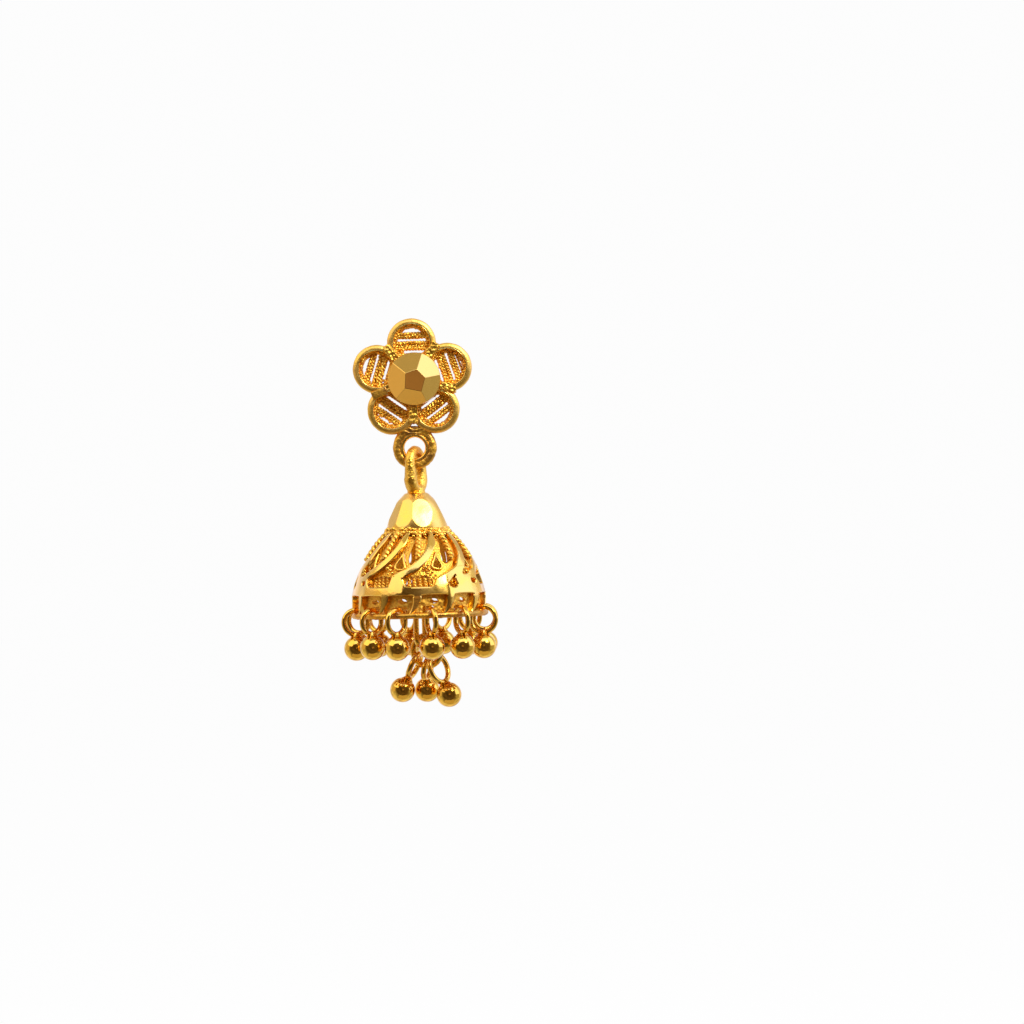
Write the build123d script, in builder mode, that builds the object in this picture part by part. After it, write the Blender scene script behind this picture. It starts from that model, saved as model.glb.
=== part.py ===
from build123d import *
import math
import os

# A jhumka earring, in mm. +Z is up and the front faces -Y. The origin is the middle of the
# flower's back, where the ear post leaves it. Turns about Z are in degrees from the front,
# and grow towards +X.

# Flower stud
PETALS = 5
PETAL_REACH = 2.95
PETAL_RADIUS = 1.95
PETAL_WALL = 0.42
FLOWER_DEPTH = 1.3
CORE_RADIUS = 1.48
BAR_THICKNESS = 0.45
BAR_BACK = 0.4
BARS = [(0.7, 0.46), (-0.26, 0.64), (-1.02, 0.42)]  # place along the petal, width
WEB_LENGTH = 1.3
WEB_WIDTH = 0.66
WEB_DEPTH = 1.42
WEB_REACH = 2.64

# Faceted dome on the flower
DOME_RADIUS = 2.14
DOME_X = 0.12
DOME_Z = 0.05
DOME_CENTRE_DEPTH = 1.0
FACET_DISTANCE = 1.68  # from the dome's centre to each facet
SIDE_TILT = 48
SIDE_FACET_TURNS = [104, 40, -17, -97, 177]

# Ear post
POST_RADIUS = 0.45
POST_LENGTH = 10
POST_TIP = 0.15

# Lower ring of the flower, which carries the bell
RING_Z = -5.44
RING_OUTER = 1.75
RING_HOLE = 0.825
RING_THICKNESS = 0.8
RING_ROUNDING = 0.3
HANG_Y = -0.65

# Solder between the ring and the two lower petals
BOSS_Z = -4.1
BOSS_SIZE = (2.5, 0.72)
BOSS_DEPTH = 0.9

# Loop of the bell
LOOP_TURN = -22
LOOP_WIRE = 0.4
LOOP_FOOT_WIRE = 0.5  # the bend at the cap is thicker
LOOP_EYE = 0.66
LOOP_BOTTOM_Z = -7.78
NECK_RADIUS = 0.8
NECK_TOP_Z = -8.7

# Faceted cap
CAP_SIDES = 9
CAP_SECTIONS = [(-9.1, 0.95), (-9.55, 1.35), (-11.45, 2.33), (-12.0, 2.42)]  # height, radius
CAP_HOLLOW = [(-12.2, 1.72), (-9.9, 0.72)]
COLLAR_Z = -12.08
COLLAR_RADIUS = 2.34
COLLAR_WIRE = 0.24

# Bell wall: its outline is one arc, from the cap down to the band
ARC_R = -3.98
ARC_Z = -19.13
ARC_RADIUS = 9.537
WALL = 0.6
WALL_TOP_Z = -12.0
WALL_MIDDLE_Z = -14.5
BAND_BOTTOM_Z = -17.2
SKIRT_Z = -18.75
SKIRT_OUT = 0.15  # how far the skirt's foot stands out from the rim wire's middle, and in
SKIRT_IN = 0.3
RIM_RADIUS = 5.25
RIM_WIRE = 0.225

# Openwork: each window is a closed curve through points of turn and height
CELLS = 9
FIRST_CELL = -6
LEAF_WINDOW = [
    (9, -12.55),
    (12, -13.2),
    (10.5, -13.9),
    (5, -14.5),
    (-1, -14.75),
    (-4.2, -14.3),
    (0.5, -13.2),
]
SIDE_WINDOW = [
    (-11, -13.75),
    (-8, -14.4),
    (-5.6, -14.93),
    (-8.5, -15.2),
    (-13.5, -15.22),
    (-18.8, -15.05),
    (-19, -14.75),
    (-15.6, -14.3),
]
LOW_WINDOW = [
    (-4.5, -16.3),
    (8, -16.42),
    (19.5, -16.35),
    (20, -15.85),
    (13, -15.62),
    (4, -15.65),
    (-3.5, -15.85),
]
ROPE_TOP = (9.5, -12.2)
ROPE_BOTTOM = (5.5, -14.9)
ROPE_RADIUS = 0.26

# Claws between the band and the rim. Each gap between two claws is a closed curve too, with its
# turns from the middle of the gap
DROPS = 12
FIRST_CLAW = 0
CLAW_GAP = [
    (-9.6, -17.35),
    (0, -17.22),
    (9.4, -17.35),
    (10.8, -17.75),
    (9.3, -18.2),
    (6.2, -18.65),
    (1.5, -19.25),
    (-12, -19.4),
    (-23.5, -19.2),
    (-20.3, -18.65),
    (-15.8, -18.2),
    (-12.4, -17.75),
]

# Lining behind the claws, with an eye in each gap
LINING_RADIUS = 4.72
LINING_WALL = 0.26
LINING_TOP_Z = -16.9
LINING_BOTTOM_Z = -18.48
NOTCH_TOP_Z = -17.98
NOTCH_WIDTH = 0.96
EYE_Z = -17.62
EYE_HALF_WIDTH = 0.36
EYE_HALF_HEIGHT = 0.21

# Ball drops, listed round the rim: how far each hangs from the middle of its gap, how far its
# ring is turned, and the radius of that ring
BALL_RADIUS = 1.0
BALL_SINK = 0.12
DROP_WIRE = 0.21
DROP_SHIFTS = [-4, -5, -1.5, -3.5, -3.5, -3.5, -3.5, -3.5, -3.5, -1.5, -0.5, -4.5]
DROP_YAWS = [12, -9, 4, 12, -7, -20, 25, 8, -10, 5, -6, -25]
DROP_RINGS = [0.96, 0.98, 1.03, 0.95, 0.96, 0.94, 0.95, 0.96, 0.95, 0.98, 0.93, 0.96]
HANG_GAP = 0.07

# Wire hairpin inside the bell, and the ring that hangs in its eye
STEM_TURN = 60
STEM_WIRE = 0.22
STEM_HALF_GAP = 0.64
STEM_TOP_Z = -9.7
STEM_BOTTOM_Z = -21.28
CENTRE_RING = 1.22
CENTRE_WIRE = 0.25
CENTRE_TURN = -25
CENTRE_SHIFT = 0.52
EYE_ROOM = 0.075  # more room in the hairpin's eye, where the centre ring slopes

# Ball drops of the centre ring, from left to right: their place round the ring from its lowest
# point, the way their own ring faces, its radius, and the point that the ball hangs towards
CLUSTER_WIRE = 0.22
CLUSTER_ROOM = 0.09  # more room round the centre ring's wire, which slopes there
CLUSTER = [
    (-50, 80, 1.06, (-1.82, -0.05, -25.2)),
    (0, 66, 0.86, (0.34, 1.0, -25.15)),
    (41, 58, 1.15, (2.26, -0.6, -25.6)),
]

os.makedirs("parts", exist_ok=True)


def save(piece, label):
    piece.label = label
    export_step(piece, f"parts/{label}.step")


def outward(turn):
    """The horizontal direction that a turn about the bell's axis faces."""
    return Vector(math.sin(math.radians(turn)), -math.cos(math.radians(turn)), 0)


def across(turn):
    """The horizontal direction to the right of outward, as seen from outside."""
    return Vector(math.cos(math.radians(turn)), math.sin(math.radians(turn)), 0)


def wall_radius(z):
    """Outer radius of the bell's wall at a height."""
    return ARC_R + math.sqrt(ARC_RADIUS**2 - (z - ARC_Z) ** 2)


def on_axis(z):
    return Vector(0, HANG_Y, z)


def facing_plane(turn, z=0, shift=0):
    """Upright plane through the bell's axis that faces outwards at a turn."""
    return Plane(on_axis(z) + across(turn) * shift, x_dir=across(turn), z_dir=outward(turn))


def wire_rod(start, end, radius):
    """Straight round wire, added to the part in hand."""
    with BuildSketch(Plane(start, z_dir=end - start)) as section:
        Circle(radius)
    extrude(section.sketch, amount=(end - start).length)


def wall_window(turn, outline):
    """Cuts one closed window through the wall, at a cell's turn."""
    points = [(wall_radius(z) * math.sin(math.radians(angle)), z) for angle, z in outline]
    with BuildSketch(facing_plane(turn)) as window:
        with BuildLine():
            Spline(*points, periodic=True)
        make_face()
    extrude(window.sketch, amount=wall_radius(SKIRT_Z) + WALL, mode=Mode.SUBTRACT)


def ball_drop(label, hook, down, ring_axis, held_wire, ring_radius, wire_radius):
    """Ring with a ball soldered under it. The ring hangs on the held wire, whose middle is the hook."""
    ring_axis = (ring_axis - down * ring_axis.dot(down)).normalized()
    ring_middle = hook + down * (ring_radius - wire_radius - held_wire - HANG_GAP)
    with BuildPart(Plane(ring_middle, x_dir=ring_axis.cross(down), z_dir=ring_axis)) as drop:
        Torus(ring_radius, wire_radius)
        with Locations((0, -(ring_radius + wire_radius + BALL_RADIUS - BALL_SINK), 0)):
            Sphere(BALL_RADIUS)
    save(drop.part, label)


# Faceted dome: a ball cut by a front facet and five side facets
dome_centre = Vector(DOME_X, -DOME_CENTRE_DEPTH, DOME_Z)
with BuildPart() as dome:
    with Locations(dome_centre):
        Sphere(DOME_RADIUS)
    facet_normals = [Vector(0, -1, 0)]
    for facet_turn in SIDE_FACET_TURNS:
        facet_direction = Vector(0, -1, 0) * math.cos(math.radians(SIDE_TILT))
        facet_direction += Vector(1, 0, 0).rotate(Axis.Y, -facet_turn) * math.sin(math.radians(SIDE_TILT))
        facet_normals.append(facet_direction)
    for facet_direction in facet_normals:
        facet_plane = Plane(dome_centre + facet_direction * FACET_DISTANCE, z_dir=facet_direction)
        split(bisect_by=facet_plane, keep=Keep.BOTTOM)
    split(bisect_by=Plane.XZ.offset(BAR_BACK), keep=Keep.TOP)

# Flower stud: five cups with bars across them, webs between them, the dome and the lower ring
with BuildPart() as flower:
    with BuildSketch(Plane.XZ):
        Circle(CORE_RADIUS)
        with PolarLocations(PETAL_REACH, PETALS, start_angle=90):
            Circle(PETAL_RADIUS)
    extrude(amount=FLOWER_DEPTH)
    with BuildSketch(Plane.XZ):
        with PolarLocations(PETAL_REACH, PETALS, start_angle=90):
            Circle(PETAL_RADIUS - PETAL_WALL)
    extrude(amount=FLOWER_DEPTH, mode=Mode.SUBTRACT)
    with BuildSketch(Plane.XZ.offset(BAR_BACK)):
        with PolarLocations(PETAL_REACH, PETALS, start_angle=90):
            for bar_place, bar_width in BARS:
                half_bar = math.sqrt((PETAL_RADIUS - PETAL_WALL / 2) ** 2 - bar_place**2)
                with Locations((bar_place, 0)):
                    Rectangle(bar_width, 2 * half_bar)
    extrude(amount=BAR_THICKNESS)
    with BuildSketch(Plane.XZ):
        with PolarLocations(WEB_REACH, PETALS, start_angle=90 + 180 / PETALS):
            Rectangle(WEB_LENGTH, WEB_WIDTH)
    extrude(amount=WEB_DEPTH)
    with BuildSketch(Plane(on_axis(RING_Z))):
        with Locations(((RING_OUTER + RING_HOLE) / 2, 0)):
            RectangleRounded(RING_OUTER - RING_HOLE, RING_THICKNESS, RING_ROUNDING)
    revolve(axis=Axis((0, 0, RING_Z), (0, 1, 0)))
    with Locations(on_axis(BOSS_Z)):
        Box(BOSS_SIZE[0], BOSS_DEPTH, BOSS_SIZE[1])
    add(dome.part)
save(flower.part, "flower")

# Plain ear post, soldered to the middle of the flower's back
with BuildPart() as ear_post:
    with BuildSketch(Plane.XZ):
        Circle(POST_RADIUS)
    extrude(amount=-POST_LENGTH)
    chamfer(ear_post.edges().sort_by(Axis.Y)[-1], POST_TIP)
save(ear_post.part, "ear_post")

# Bell: loop, cap, openwork wall, claws, rim wire and the hairpin inside, cast and soldered
hinge_z = RING_Z - (RING_OUTER + RING_HOLE) / 2
loop_radius = LOOP_EYE + LOOP_WIRE
with BuildPart() as bell:
    # cap
    for section_z, section_radius in CAP_SECTIONS:
        with BuildSketch(Plane(on_axis(section_z), x_dir=(0, -1, 0))):
            RegularPolygon(section_radius, CAP_SIDES)
    loft(ruled=True)
    # wall, with its skirt
    with BuildSketch(Plane(on_axis(0), x_dir=(1, 0, 0), z_dir=(0, -1, 0))):
        with BuildLine():
            outline = ThreePointArc(
                (wall_radius(WALL_TOP_Z), WALL_TOP_Z),
                (wall_radius(WALL_MIDDLE_Z), WALL_MIDDLE_Z),
                (wall_radius(BAND_BOTTOM_Z), BAND_BOTTOM_Z),
            )
            skirt = Line(outline @ 1, (RIM_RADIUS + SKIRT_OUT, SKIRT_Z))
            foot = Line(skirt @ 1, (RIM_RADIUS - SKIRT_IN, SKIRT_Z))
            inner_skirt = Line(foot @ 1, (wall_radius(BAND_BOTTOM_Z) - WALL, BAND_BOTTOM_Z))
            inner_outline = ThreePointArc(
                inner_skirt @ 1,
                (wall_radius(WALL_MIDDLE_Z) - WALL, WALL_MIDDLE_Z),
                (wall_radius(WALL_TOP_Z) - WALL, WALL_TOP_Z),
            )
            Line(inner_outline @ 1, outline @ 0)
        make_face()
    revolve(axis=Axis(on_axis(0), (0, 0, 1)))
    with BuildSketch(Plane(on_axis(CAP_HOLLOW[0][0]))):
        Circle(CAP_HOLLOW[0][1])
    with BuildSketch(Plane(on_axis(CAP_HOLLOW[1][0]))):
        Circle(CAP_HOLLOW[1][1])
    loft(mode=Mode.SUBTRACT)
    # openwork
    for cell in range(CELLS):
        cell_turn = FIRST_CELL + cell * 360 / CELLS
        wall_window(cell_turn, LEAF_WINDOW)
        wall_window(cell_turn, SIDE_WINDOW)
        wall_window(cell_turn, LOW_WINDOW)
        rope_ends = []
        for rope_angle, rope_z in (ROPE_TOP, ROPE_BOTTOM):
            rope_reach = wall_radius(rope_z) - WALL / 2
            rope_ends.append(on_axis(rope_z) + outward(cell_turn + rope_angle) * rope_reach)
        wire_rod(rope_ends[0], rope_ends[1], ROPE_RADIUS)
    # claws
    for claw in range(DROPS):
        wall_window(FIRST_CLAW + (claw + 0.5) * 360 / DROPS, CLAW_GAP)
    # lining
    with BuildSketch(Plane(on_axis(0), x_dir=(1, 0, 0), z_dir=(0, -1, 0))):
        with Locations((LINING_RADIUS, (LINING_TOP_Z + LINING_BOTTOM_Z) / 2)):
            Rectangle(LINING_WALL, LINING_TOP_Z - LINING_BOTTOM_Z)
    revolve(axis=Axis(on_axis(0), (0, 0, 1)))
    for eye in range(DROPS):
        with BuildSketch(facing_plane(FIRST_CLAW + (eye + 0.5) * 360 / DROPS, EYE_Z)):
            Ellipse(EYE_HALF_WIDTH, EYE_HALF_HEIGHT)
        extrude(amount=RIM_RADIUS, mode=Mode.SUBTRACT)
    # notches in the lining, which the rings of the rim drops pass through
    for number, (shift, yaw) in enumerate(zip(DROP_SHIFTS, DROP_YAWS), start=1):
        aside = math.atan((RIM_RADIUS - LINING_RADIUS) * math.tan(math.radians(yaw)) / LINING_RADIUS)
        notch_turn = FIRST_CLAW + (number - 0.5) * 360 / DROPS + shift - math.degrees(aside)
        with BuildSketch(facing_plane(notch_turn, (NOTCH_TOP_Z + SKIRT_Z) / 2)):
            Rectangle(NOTCH_WIDTH, NOTCH_TOP_Z - SKIRT_Z)
        extrude(amount=LINING_RADIUS + LINING_WALL, mode=Mode.SUBTRACT)
    # collar and rim wire
    with BuildSketch(Plane(on_axis(0), x_dir=(1, 0, 0), z_dir=(0, -1, 0))):
        with Locations((COLLAR_RADIUS, COLLAR_Z)):
            Circle(COLLAR_WIRE)
        with Locations((RIM_RADIUS, SKIRT_Z)):
            Circle(RIM_WIRE)
    revolve(axis=Axis(on_axis(0), (0, 0, 1)))
    # loop
    loop_length = hinge_z - LOOP_BOTTOM_Z
    loop_middle = (hinge_z + LOOP_BOTTOM_Z) / 2
    with BuildLine(facing_plane(LOOP_TURN + 90, loop_middle)) as loop_path:
        front_limb = Line((-loop_radius, -loop_length / 2), (-loop_radius, loop_length / 2))
        loop_top = CenterArc((0, loop_length / 2), loop_radius, 180, -180)
        back_limb = Line(loop_top @ 1, (loop_radius, -loop_length / 2))
        loop_foot = CenterArc((0, -loop_length / 2), loop_radius, 0, -180)
    with BuildSketch(Plane(front_limb @ 0, z_dir=front_limb % 0)):
        Circle(LOOP_WIRE)
    sweep(path=loop_path.wire())
    with BuildSketch(Plane(loop_foot @ 0, z_dir=loop_foot % 0)):
        Circle(LOOP_FOOT_WIRE)
    sweep(path=loop_foot)
    with BuildSketch(Plane(on_axis(CAP_SECTIONS[1][0]))):
        Circle(NECK_RADIUS)
    extrude(amount=NECK_TOP_Z - CAP_SECTIONS[1][0])
    # hairpin
    with BuildLine(facing_plane(STEM_TURN)) as stem_path:
        stem_bend_z = STEM_BOTTOM_Z + STEM_HALF_GAP
        stem_limb = Line((-STEM_HALF_GAP, STEM_TOP_Z), (-STEM_HALF_GAP, stem_bend_z))
        stem_eye = CenterArc((0, stem_bend_z), STEM_HALF_GAP, 180, 180)
        Line(stem_eye @ 1, (STEM_HALF_GAP, STEM_TOP_Z))
    with BuildSketch(Plane(stem_limb @ 0, z_dir=stem_limb % 0)):
        Circle(STEM_WIRE)
    sweep(path=stem_path.wire())
save(bell.part, "bell")

# Rim drops, each hung on the rim wire between two claws
for number, (shift, yaw, ring_radius) in enumerate(zip(DROP_SHIFTS, DROP_YAWS, DROP_RINGS), start=1):
    drop_turn = FIRST_CLAW + (number - 0.5) * 360 / DROPS + shift
    rim_hook = on_axis(SKIRT_Z) + outward(drop_turn) * RIM_RADIUS
    drop_axis = across(drop_turn + yaw)
    label = f"rim_drop_{number:02d}"
    ball_drop(label, rim_hook, Vector(0, 0, -1), drop_axis, RIM_WIRE, ring_radius, DROP_WIRE)

# Centre ring, hung in the hairpin's eye
centre_ring_drop = math.sqrt(CENTRE_RING**2 - CENTRE_SHIFT**2)
centre_ring_slope = CENTRE_RING / centre_ring_drop
centre_ring_hold = STEM_WIRE + HANG_GAP + EYE_ROOM + CENTRE_WIRE
centre_ring_z = STEM_BOTTOM_Z + centre_ring_hold * centre_ring_slope - centre_ring_drop
with BuildPart(facing_plane(CENTRE_TURN, centre_ring_z, CENTRE_SHIFT)) as centre_ring:
    Torus(CENTRE_RING, CENTRE_WIRE)
save(centre_ring.part, "centre_ring")

# Centre drops, hung on the centre ring
for number, (ring_place, axis_turn, ring_radius, ball_middle) in enumerate(CLUSTER, start=1):
    along_ring = math.radians(ring_place)
    hook = on_axis(centre_ring_z - CENTRE_RING * math.cos(along_ring))
    hook += across(CENTRE_TURN) * (CENTRE_SHIFT + CENTRE_RING * math.sin(along_ring))
    down = (Vector(*ball_middle) + Vector(0, HANG_Y, 0) - hook).normalized()
    label = f"centre_drop_{number}"
    held_wire = CENTRE_WIRE + CLUSTER_ROOM
    ball_drop(label, hook, down, outward(axis_turn), held_wire, ring_radius, CLUSTER_WIRE)
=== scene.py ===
import math
import random

import bpy
from mathutils import Matrix, Vector
from mathutils.geometry import delaunay_2d_cdt


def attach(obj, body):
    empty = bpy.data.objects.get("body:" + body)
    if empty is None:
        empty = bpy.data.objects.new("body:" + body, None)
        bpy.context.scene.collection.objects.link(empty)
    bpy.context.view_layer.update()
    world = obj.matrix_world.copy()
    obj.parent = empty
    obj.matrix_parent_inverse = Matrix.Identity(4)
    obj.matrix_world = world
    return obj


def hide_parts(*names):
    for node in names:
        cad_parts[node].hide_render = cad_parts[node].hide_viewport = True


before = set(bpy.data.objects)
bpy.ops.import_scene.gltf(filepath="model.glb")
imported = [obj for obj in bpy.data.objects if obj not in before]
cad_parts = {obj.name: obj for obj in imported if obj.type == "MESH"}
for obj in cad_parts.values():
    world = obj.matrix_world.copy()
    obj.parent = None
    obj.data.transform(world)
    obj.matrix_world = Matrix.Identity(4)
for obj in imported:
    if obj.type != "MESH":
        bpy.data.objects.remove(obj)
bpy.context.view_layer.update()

bl_info = {
    "name": "Jhumka earring",
    "version": (1, 0, 0),
    "blender": (4, 5, 0),
    "location": "View3D > Sidebar > Jhumka",
    "description": "Makes the finished pieces of a gold jhumka earring around its packed frame",
    "category": "Add Mesh",
}

MM = 0.001
ROUND = 360
MERGE = 0.002 * MM  # points closer than this are merged
UP = Vector((0, 0, 1))
FRONT = Vector((0, -1, 0))
HANG_Y = -0.65 * MM  # the bell's axis lies this far in front of the flower's back
RIM_RADIUS = 5.25  # of the rim wire's ring, in mm


# ---------------------------------------------------------------- sizes and colours


def length(name, description, millimetres):
    return bpy.props.FloatProperty(
        name=name, description=description, default=millimetres * MM, unit="LENGTH", precision=6
    )


def colour(name, description, default):
    return bpy.props.FloatVectorProperty(
        name=name, description=description, default=default, size=3, subtype="COLOR", min=0, max=1
    )


class FlowerSizes(bpy.types.PropertyGroup):
    petals: bpy.props.IntProperty(name="Petals", description="Cups round the flower", default=5)
    petal_reach: length("Petal reach", "From the flower's middle to a cup's middle", 2.95)
    petal_radius: length("Petal radius", "Outside radius of a cup", 1.95)
    petal_wall: length("Petal wall", "Thickness of a cup's wall", 0.46)
    depth: length("Depth", "Depth of the cups, front to back", 1.3)
    rope_radius: length("Rope radius", "Half the width of a twisted wire in a cup", 0.18)
    dome_radius: length("Dome radius", "Radius of the ball that the dome is cut from", 2.14)
    dome_centre: length("Dome centre", "How far the ball's middle is in front of the back", 1.0)
    ring_z: length("Ring height", "Height of the lower ring's middle", -5.44)
    ring_outer: length("Ring outside", "Outside radius of the lower ring", 1.75)
    ring_hole: length("Ring hole", "Radius of the lower ring's hole", 0.825)
    ring_thickness: length("Ring thickness", "Front to back thickness of the lower ring", 0.8)


class BellSizes(bpy.types.PropertyGroup):
    cells: bpy.props.IntProperty(name="Cells", description="Ribs round the bell", default=9)
    arc_radius: length("Outline radius", "Radius of the bell's outline", 9.537)
    arc_r: length("Outline centre radius", "Distance of the outline's centre from the axis", -3.98)
    arc_z: length("Outline centre height", "Height of the outline's centre", -19.13)
    band_bottom: length("Band bottom", "Height of the band's lower edge", -17.2)
    rim_z: length("Rim height", "Height of the rim wire", -18.75)
    rim_radius: length("Rim radius", "Radius of the rim wire's ring", RIM_RADIUS)
    rim_wire: length("Rim wire", "Radius of the rim wire itself", 0.225)
    loop_wire: length("Loop wire", "Radius of the loop's wire", 0.4)
    loop_eye: length("Loop eye", "Inside radius of the loop", 0.66)
    loop_bottom: length("Loop bottom", "Height of the loop's lower bend", -7.78)


class DropSizes(bpy.types.PropertyGroup):
    ball_radius: length("Ball radius", "Radius of each ball", 1.0)
    ball_sink: length("Ball sink", "How far a ring is sunk in its ball", 0.12)
    wire_radius: length("Wire radius", "Radius of a rim drop's wire", 0.21)
    gap: length("Gap", "Room between linked wires", 0.07)
    centre_ring: length("Centre ring", "Radius of the ring in the hairpin", 1.22)
    centre_wire: length("Centre wire", "Radius of that ring's wire", 0.25)
    cluster_wire: length("Cluster wire", "Radius of the wire of the centre drops' rings", 0.22)
    hairpin_wire: length("Hairpin wire", "Radius of the wire hairpin", 0.22)
    hairpin_half_gap: length("Hairpin half gap", "Half the distance between its limbs", 0.64)
    hairpin_top: length("Hairpin top", "Height of its ends inside the cap", -9.7)
    hairpin_bottom: length("Hairpin bottom", "Height of its bend", -21.28)


class Finishes(bpy.types.PropertyGroup):
    polished: colour("Polished gold", "Facets, ribs, band and cap", (0.97, 0.58, 0.12))
    grainy: colour("Grainy gold", "Cast and twisted surfaces, and balls", (1.0, 0.6, 0.085))
    deep: colour("Deep gold", "Hollows of the grainy surfaces", (0.92, 0.5, 0.055))
    # The burnished colour is a painted highlight, paler than the polished gold, on the petals' burnished
    # inner edges
    burnished_highlight: colour("Burnished gold", "Inner edges of the petals", (1.0, 0.74, 0.17))
    # brown is the tarnish of the solder, and painted shade where it darkens the rim wire
    brown: colour("Brown gold", "Tarnished solder", (0.5, 0.24, 0.05))


class StageSizes(bpy.types.PropertyGroup):
    view_width: length("View width", "Width that the camera takes in at the earring", 81.92)
    view_distance: length("View distance", "From the camera to the earring", 300)
    view_x: length("View centre across", "Where the camera's axis passes the earring", 7.608)
    view_z: length("View centre height", "Height at which it passes", -10.82)
    roll: bpy.props.FloatProperty(
        name="Roll", description="Turn of the camera about its axis", default=math.radians(1.8),
        subtype="ANGLE",
    )
    floor_z: length("Floor height", "Height of the floor far under the earring", -200)


GROUPS = {
    "jhumka_flower": FlowerSizes,
    "jhumka_bell": BellSizes,
    "jhumka_drops": DropSizes,
    "jhumka_finish": Finishes,
    "jhumka_stage": StageSizes,
}

# Each kind of gold: its colour, the colour of the patches that noise mixes into it, the limits of its
# roughness, and in mm the size and depth of its grain and the depth of its slow waves
GOLDS = {
    "polished_gold": ("polished", "grainy", (0.12, 0.24), 0.12, 0.002, 0.012),
    "mirror_gold": ("grainy", "deep", (0.07, 0.16), 0.2, 0.003, 0.03),
    "satin_gold": ("polished", "grainy", (0.24, 0.36), 0.1, 0.003, 0.02),
    "petal_gold": ("polished", "grainy", (0.34, 0.5), 0.12, 0.012, 0.03),
    # edge gold: its paler colour is a painted highlight along the petals' inner edges
    "edge_gold": ("burnished_highlight", "burnished_highlight", (0.18, 0.28), 0.12, 0.001, 0),
    "facet_gold": ("polished", "polished", (0.14, 0.19), 0.1, 0.0008, 0),
    # brown gold: tarnished solder, and painted shade on the rim wire
    "brown_gold": ("deep", "brown", (0.35, 0.5), 0.18, 0.03, 0.05),
    "deep_gold": ("deep", "deep", (0.35, 0.5), 0.12, 0.05, 0.06),
    "lining_gold": ("grainy", "deep", (0.5, 0.65), 0.25, 0.09, 0.09),
    "wire_gold": ("grainy", "deep", (0.14, 0.32), 0.16, 0.008, 0.04),
    "grainy_gold": ("grainy", "deep", (0.3, 0.5), 0.14, 0.04, 0.05),
}

PATCH_SCALE = 900  # of the patches of tint and polish
PATCH_TINT = (0.35, 0.6)  # levels of their noise where the tint and the polish begin and end
PATCH_POLISH = (0.3, 0.7)
WAVE_SCALE = 1200

# In the tables below, lengths and heights are in mm. Turns are in degrees. About the bell's axis
# they start from the front and grow towards +X, and in the flower they start from +X and grow
# towards +Z. Outlines on the bell's wall are rows of (turn from the cell's own turn, height).

# Flower
CUP_LIP = 0.1  # unit of the rounding of a cup's rim
CUP_RIM = [(0, 2.6), (0.3, 1.7), (1.1, 0.9), (2.3, 0.35), (3.5, 0), (4.0, 0.1), (4.3, 0.8)]  # in, down
CUP_MOUTH = [(0, 1.8), (0.6, 3)]  # the same, in from the inside of the wall
CUP_FOOT = 0.28  # how much thicker a cup's wall is at its back
FOOT_SHARE = 0.3  # share of the depth that the foot takes
LINER_FACE = 0.02  # how far the rough liner reaches into the wall
LINER_FRONT = 1.9  # in lips, how far the liner starts behind the rim
LINER_RINGS = 7
LINER_SLOPE = (0.04, 0.05)  # in from the wall at the first ring, and further at each
LINER_DEPTH = (0.82, 0.08)  # share of the cup's depth at the first ring, and less at each
EDGE_WIRE = 0.055
EDGE_PLACE = (0.3, 0.6)  # in lips, out from the inside of the wall and behind the rim
PETAL_ROPES = [0.66, 0.5, -0.04, -0.27, -0.51, -0.93]  # places along the petal
PETAL_EXTRA_ROPES = [(2, 1.08), (4, 0.97)]  # petals with a thin outer wire, and its place
THIN_ROPE = 0.6  # its width as a share of the others'
ROPE_LIFT = 0.68  # how far the wires lie in front of the flower's back
ROPE_BOW = 0.05
ROPE_ROOM = 0.06  # between a wire's end and the wall
ROPE_SPANS = 40
PETAL_ROPE_STEP = 0.05
PETAL_BARS = [(0.58, 0.42), (-0.26, 0.64), (-1.02, 0.42)]  # place and width of the bars behind the ropes
BAR_LIFT = 0.42
BAR_THICKNESS = 0.3
BAR_SINK = 0.12  # how far the bars reach into the wall
PETAL_GRAINS = 110
GRAIN_REACH = (1.4, 1.45)  # along and across the petal
GRAIN_ROOM = 0.08  # kept between a grain's middle and the wall
GRAIN_LIFTS = (0.68, 0.86)
GRAIN_RADII = (0.06, 0.13)
LONG_SLIT = (0.23, 0.14)  # place along the petal, and half width, of the slits kept clear of grains
SHORT_SLIT = (-0.72, 0.15)
SHORT_SLIT_START = -0.9
LONG_SLIT_ENDS = (0.95, 1.2)  # limits of where each slit ends, across the petal
SHORT_SLIT_ENDS = (0.2, 0.7)
LENS_START = 0.8  # outwards from here, the petal is open between its outer wire and its cup
PETAL_LENS = [0.75, 0.6, 0.35, 0.7, 0.2]  # half the width kept open there, for each petal
WALL_GRAINS = 60
WALL_GRAIN_JITTER = 3  # degrees
WALL_GRAIN_DEPTHS = (0.08, 0.16)  # in from the inside of the wall
WALL_GRAIN_LIFTS = (0.62, 1.02)
WALL_GRAIN_RADII = (0.09, 0.15)
CORE = [(0.02, 0), (1.5, 0), (1.62, 0.12), (1.62, 1.0), (0.02, 1.0)]  # radius and height of its section
WEBS = [  # turn, reach, and whether it is smooth
    (55, 2.85, False), (128, 2.8, False), (201, 2.85, True), (270, 2.85, False), (347, 2.9, False),
]
WEB_SIZE = (1.3, 1.4, 0.66)
WEB_LIFT = 0.72
BOSS_SIZE = (2.5, 0.9, 0.72)
BOSS_PLACE = (0, -0.66, -4.1)
DOME_SHIFT = (0.12, 0, 0.05)
DOME_TRIM = 0.03  # how much smaller than its ball the dome is
DOME_DEPTH = 3
DOME_FACETS = [  # turn, tilt from the front, distance from the ball's middle
    (-20, 4, 1.75), (104, 43, 1.7), (40, 43.5, 1.73), (-17, 43.5, 1.83), (-97, 37, 1.94), (177, 43.5, 1.75),
]
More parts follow.
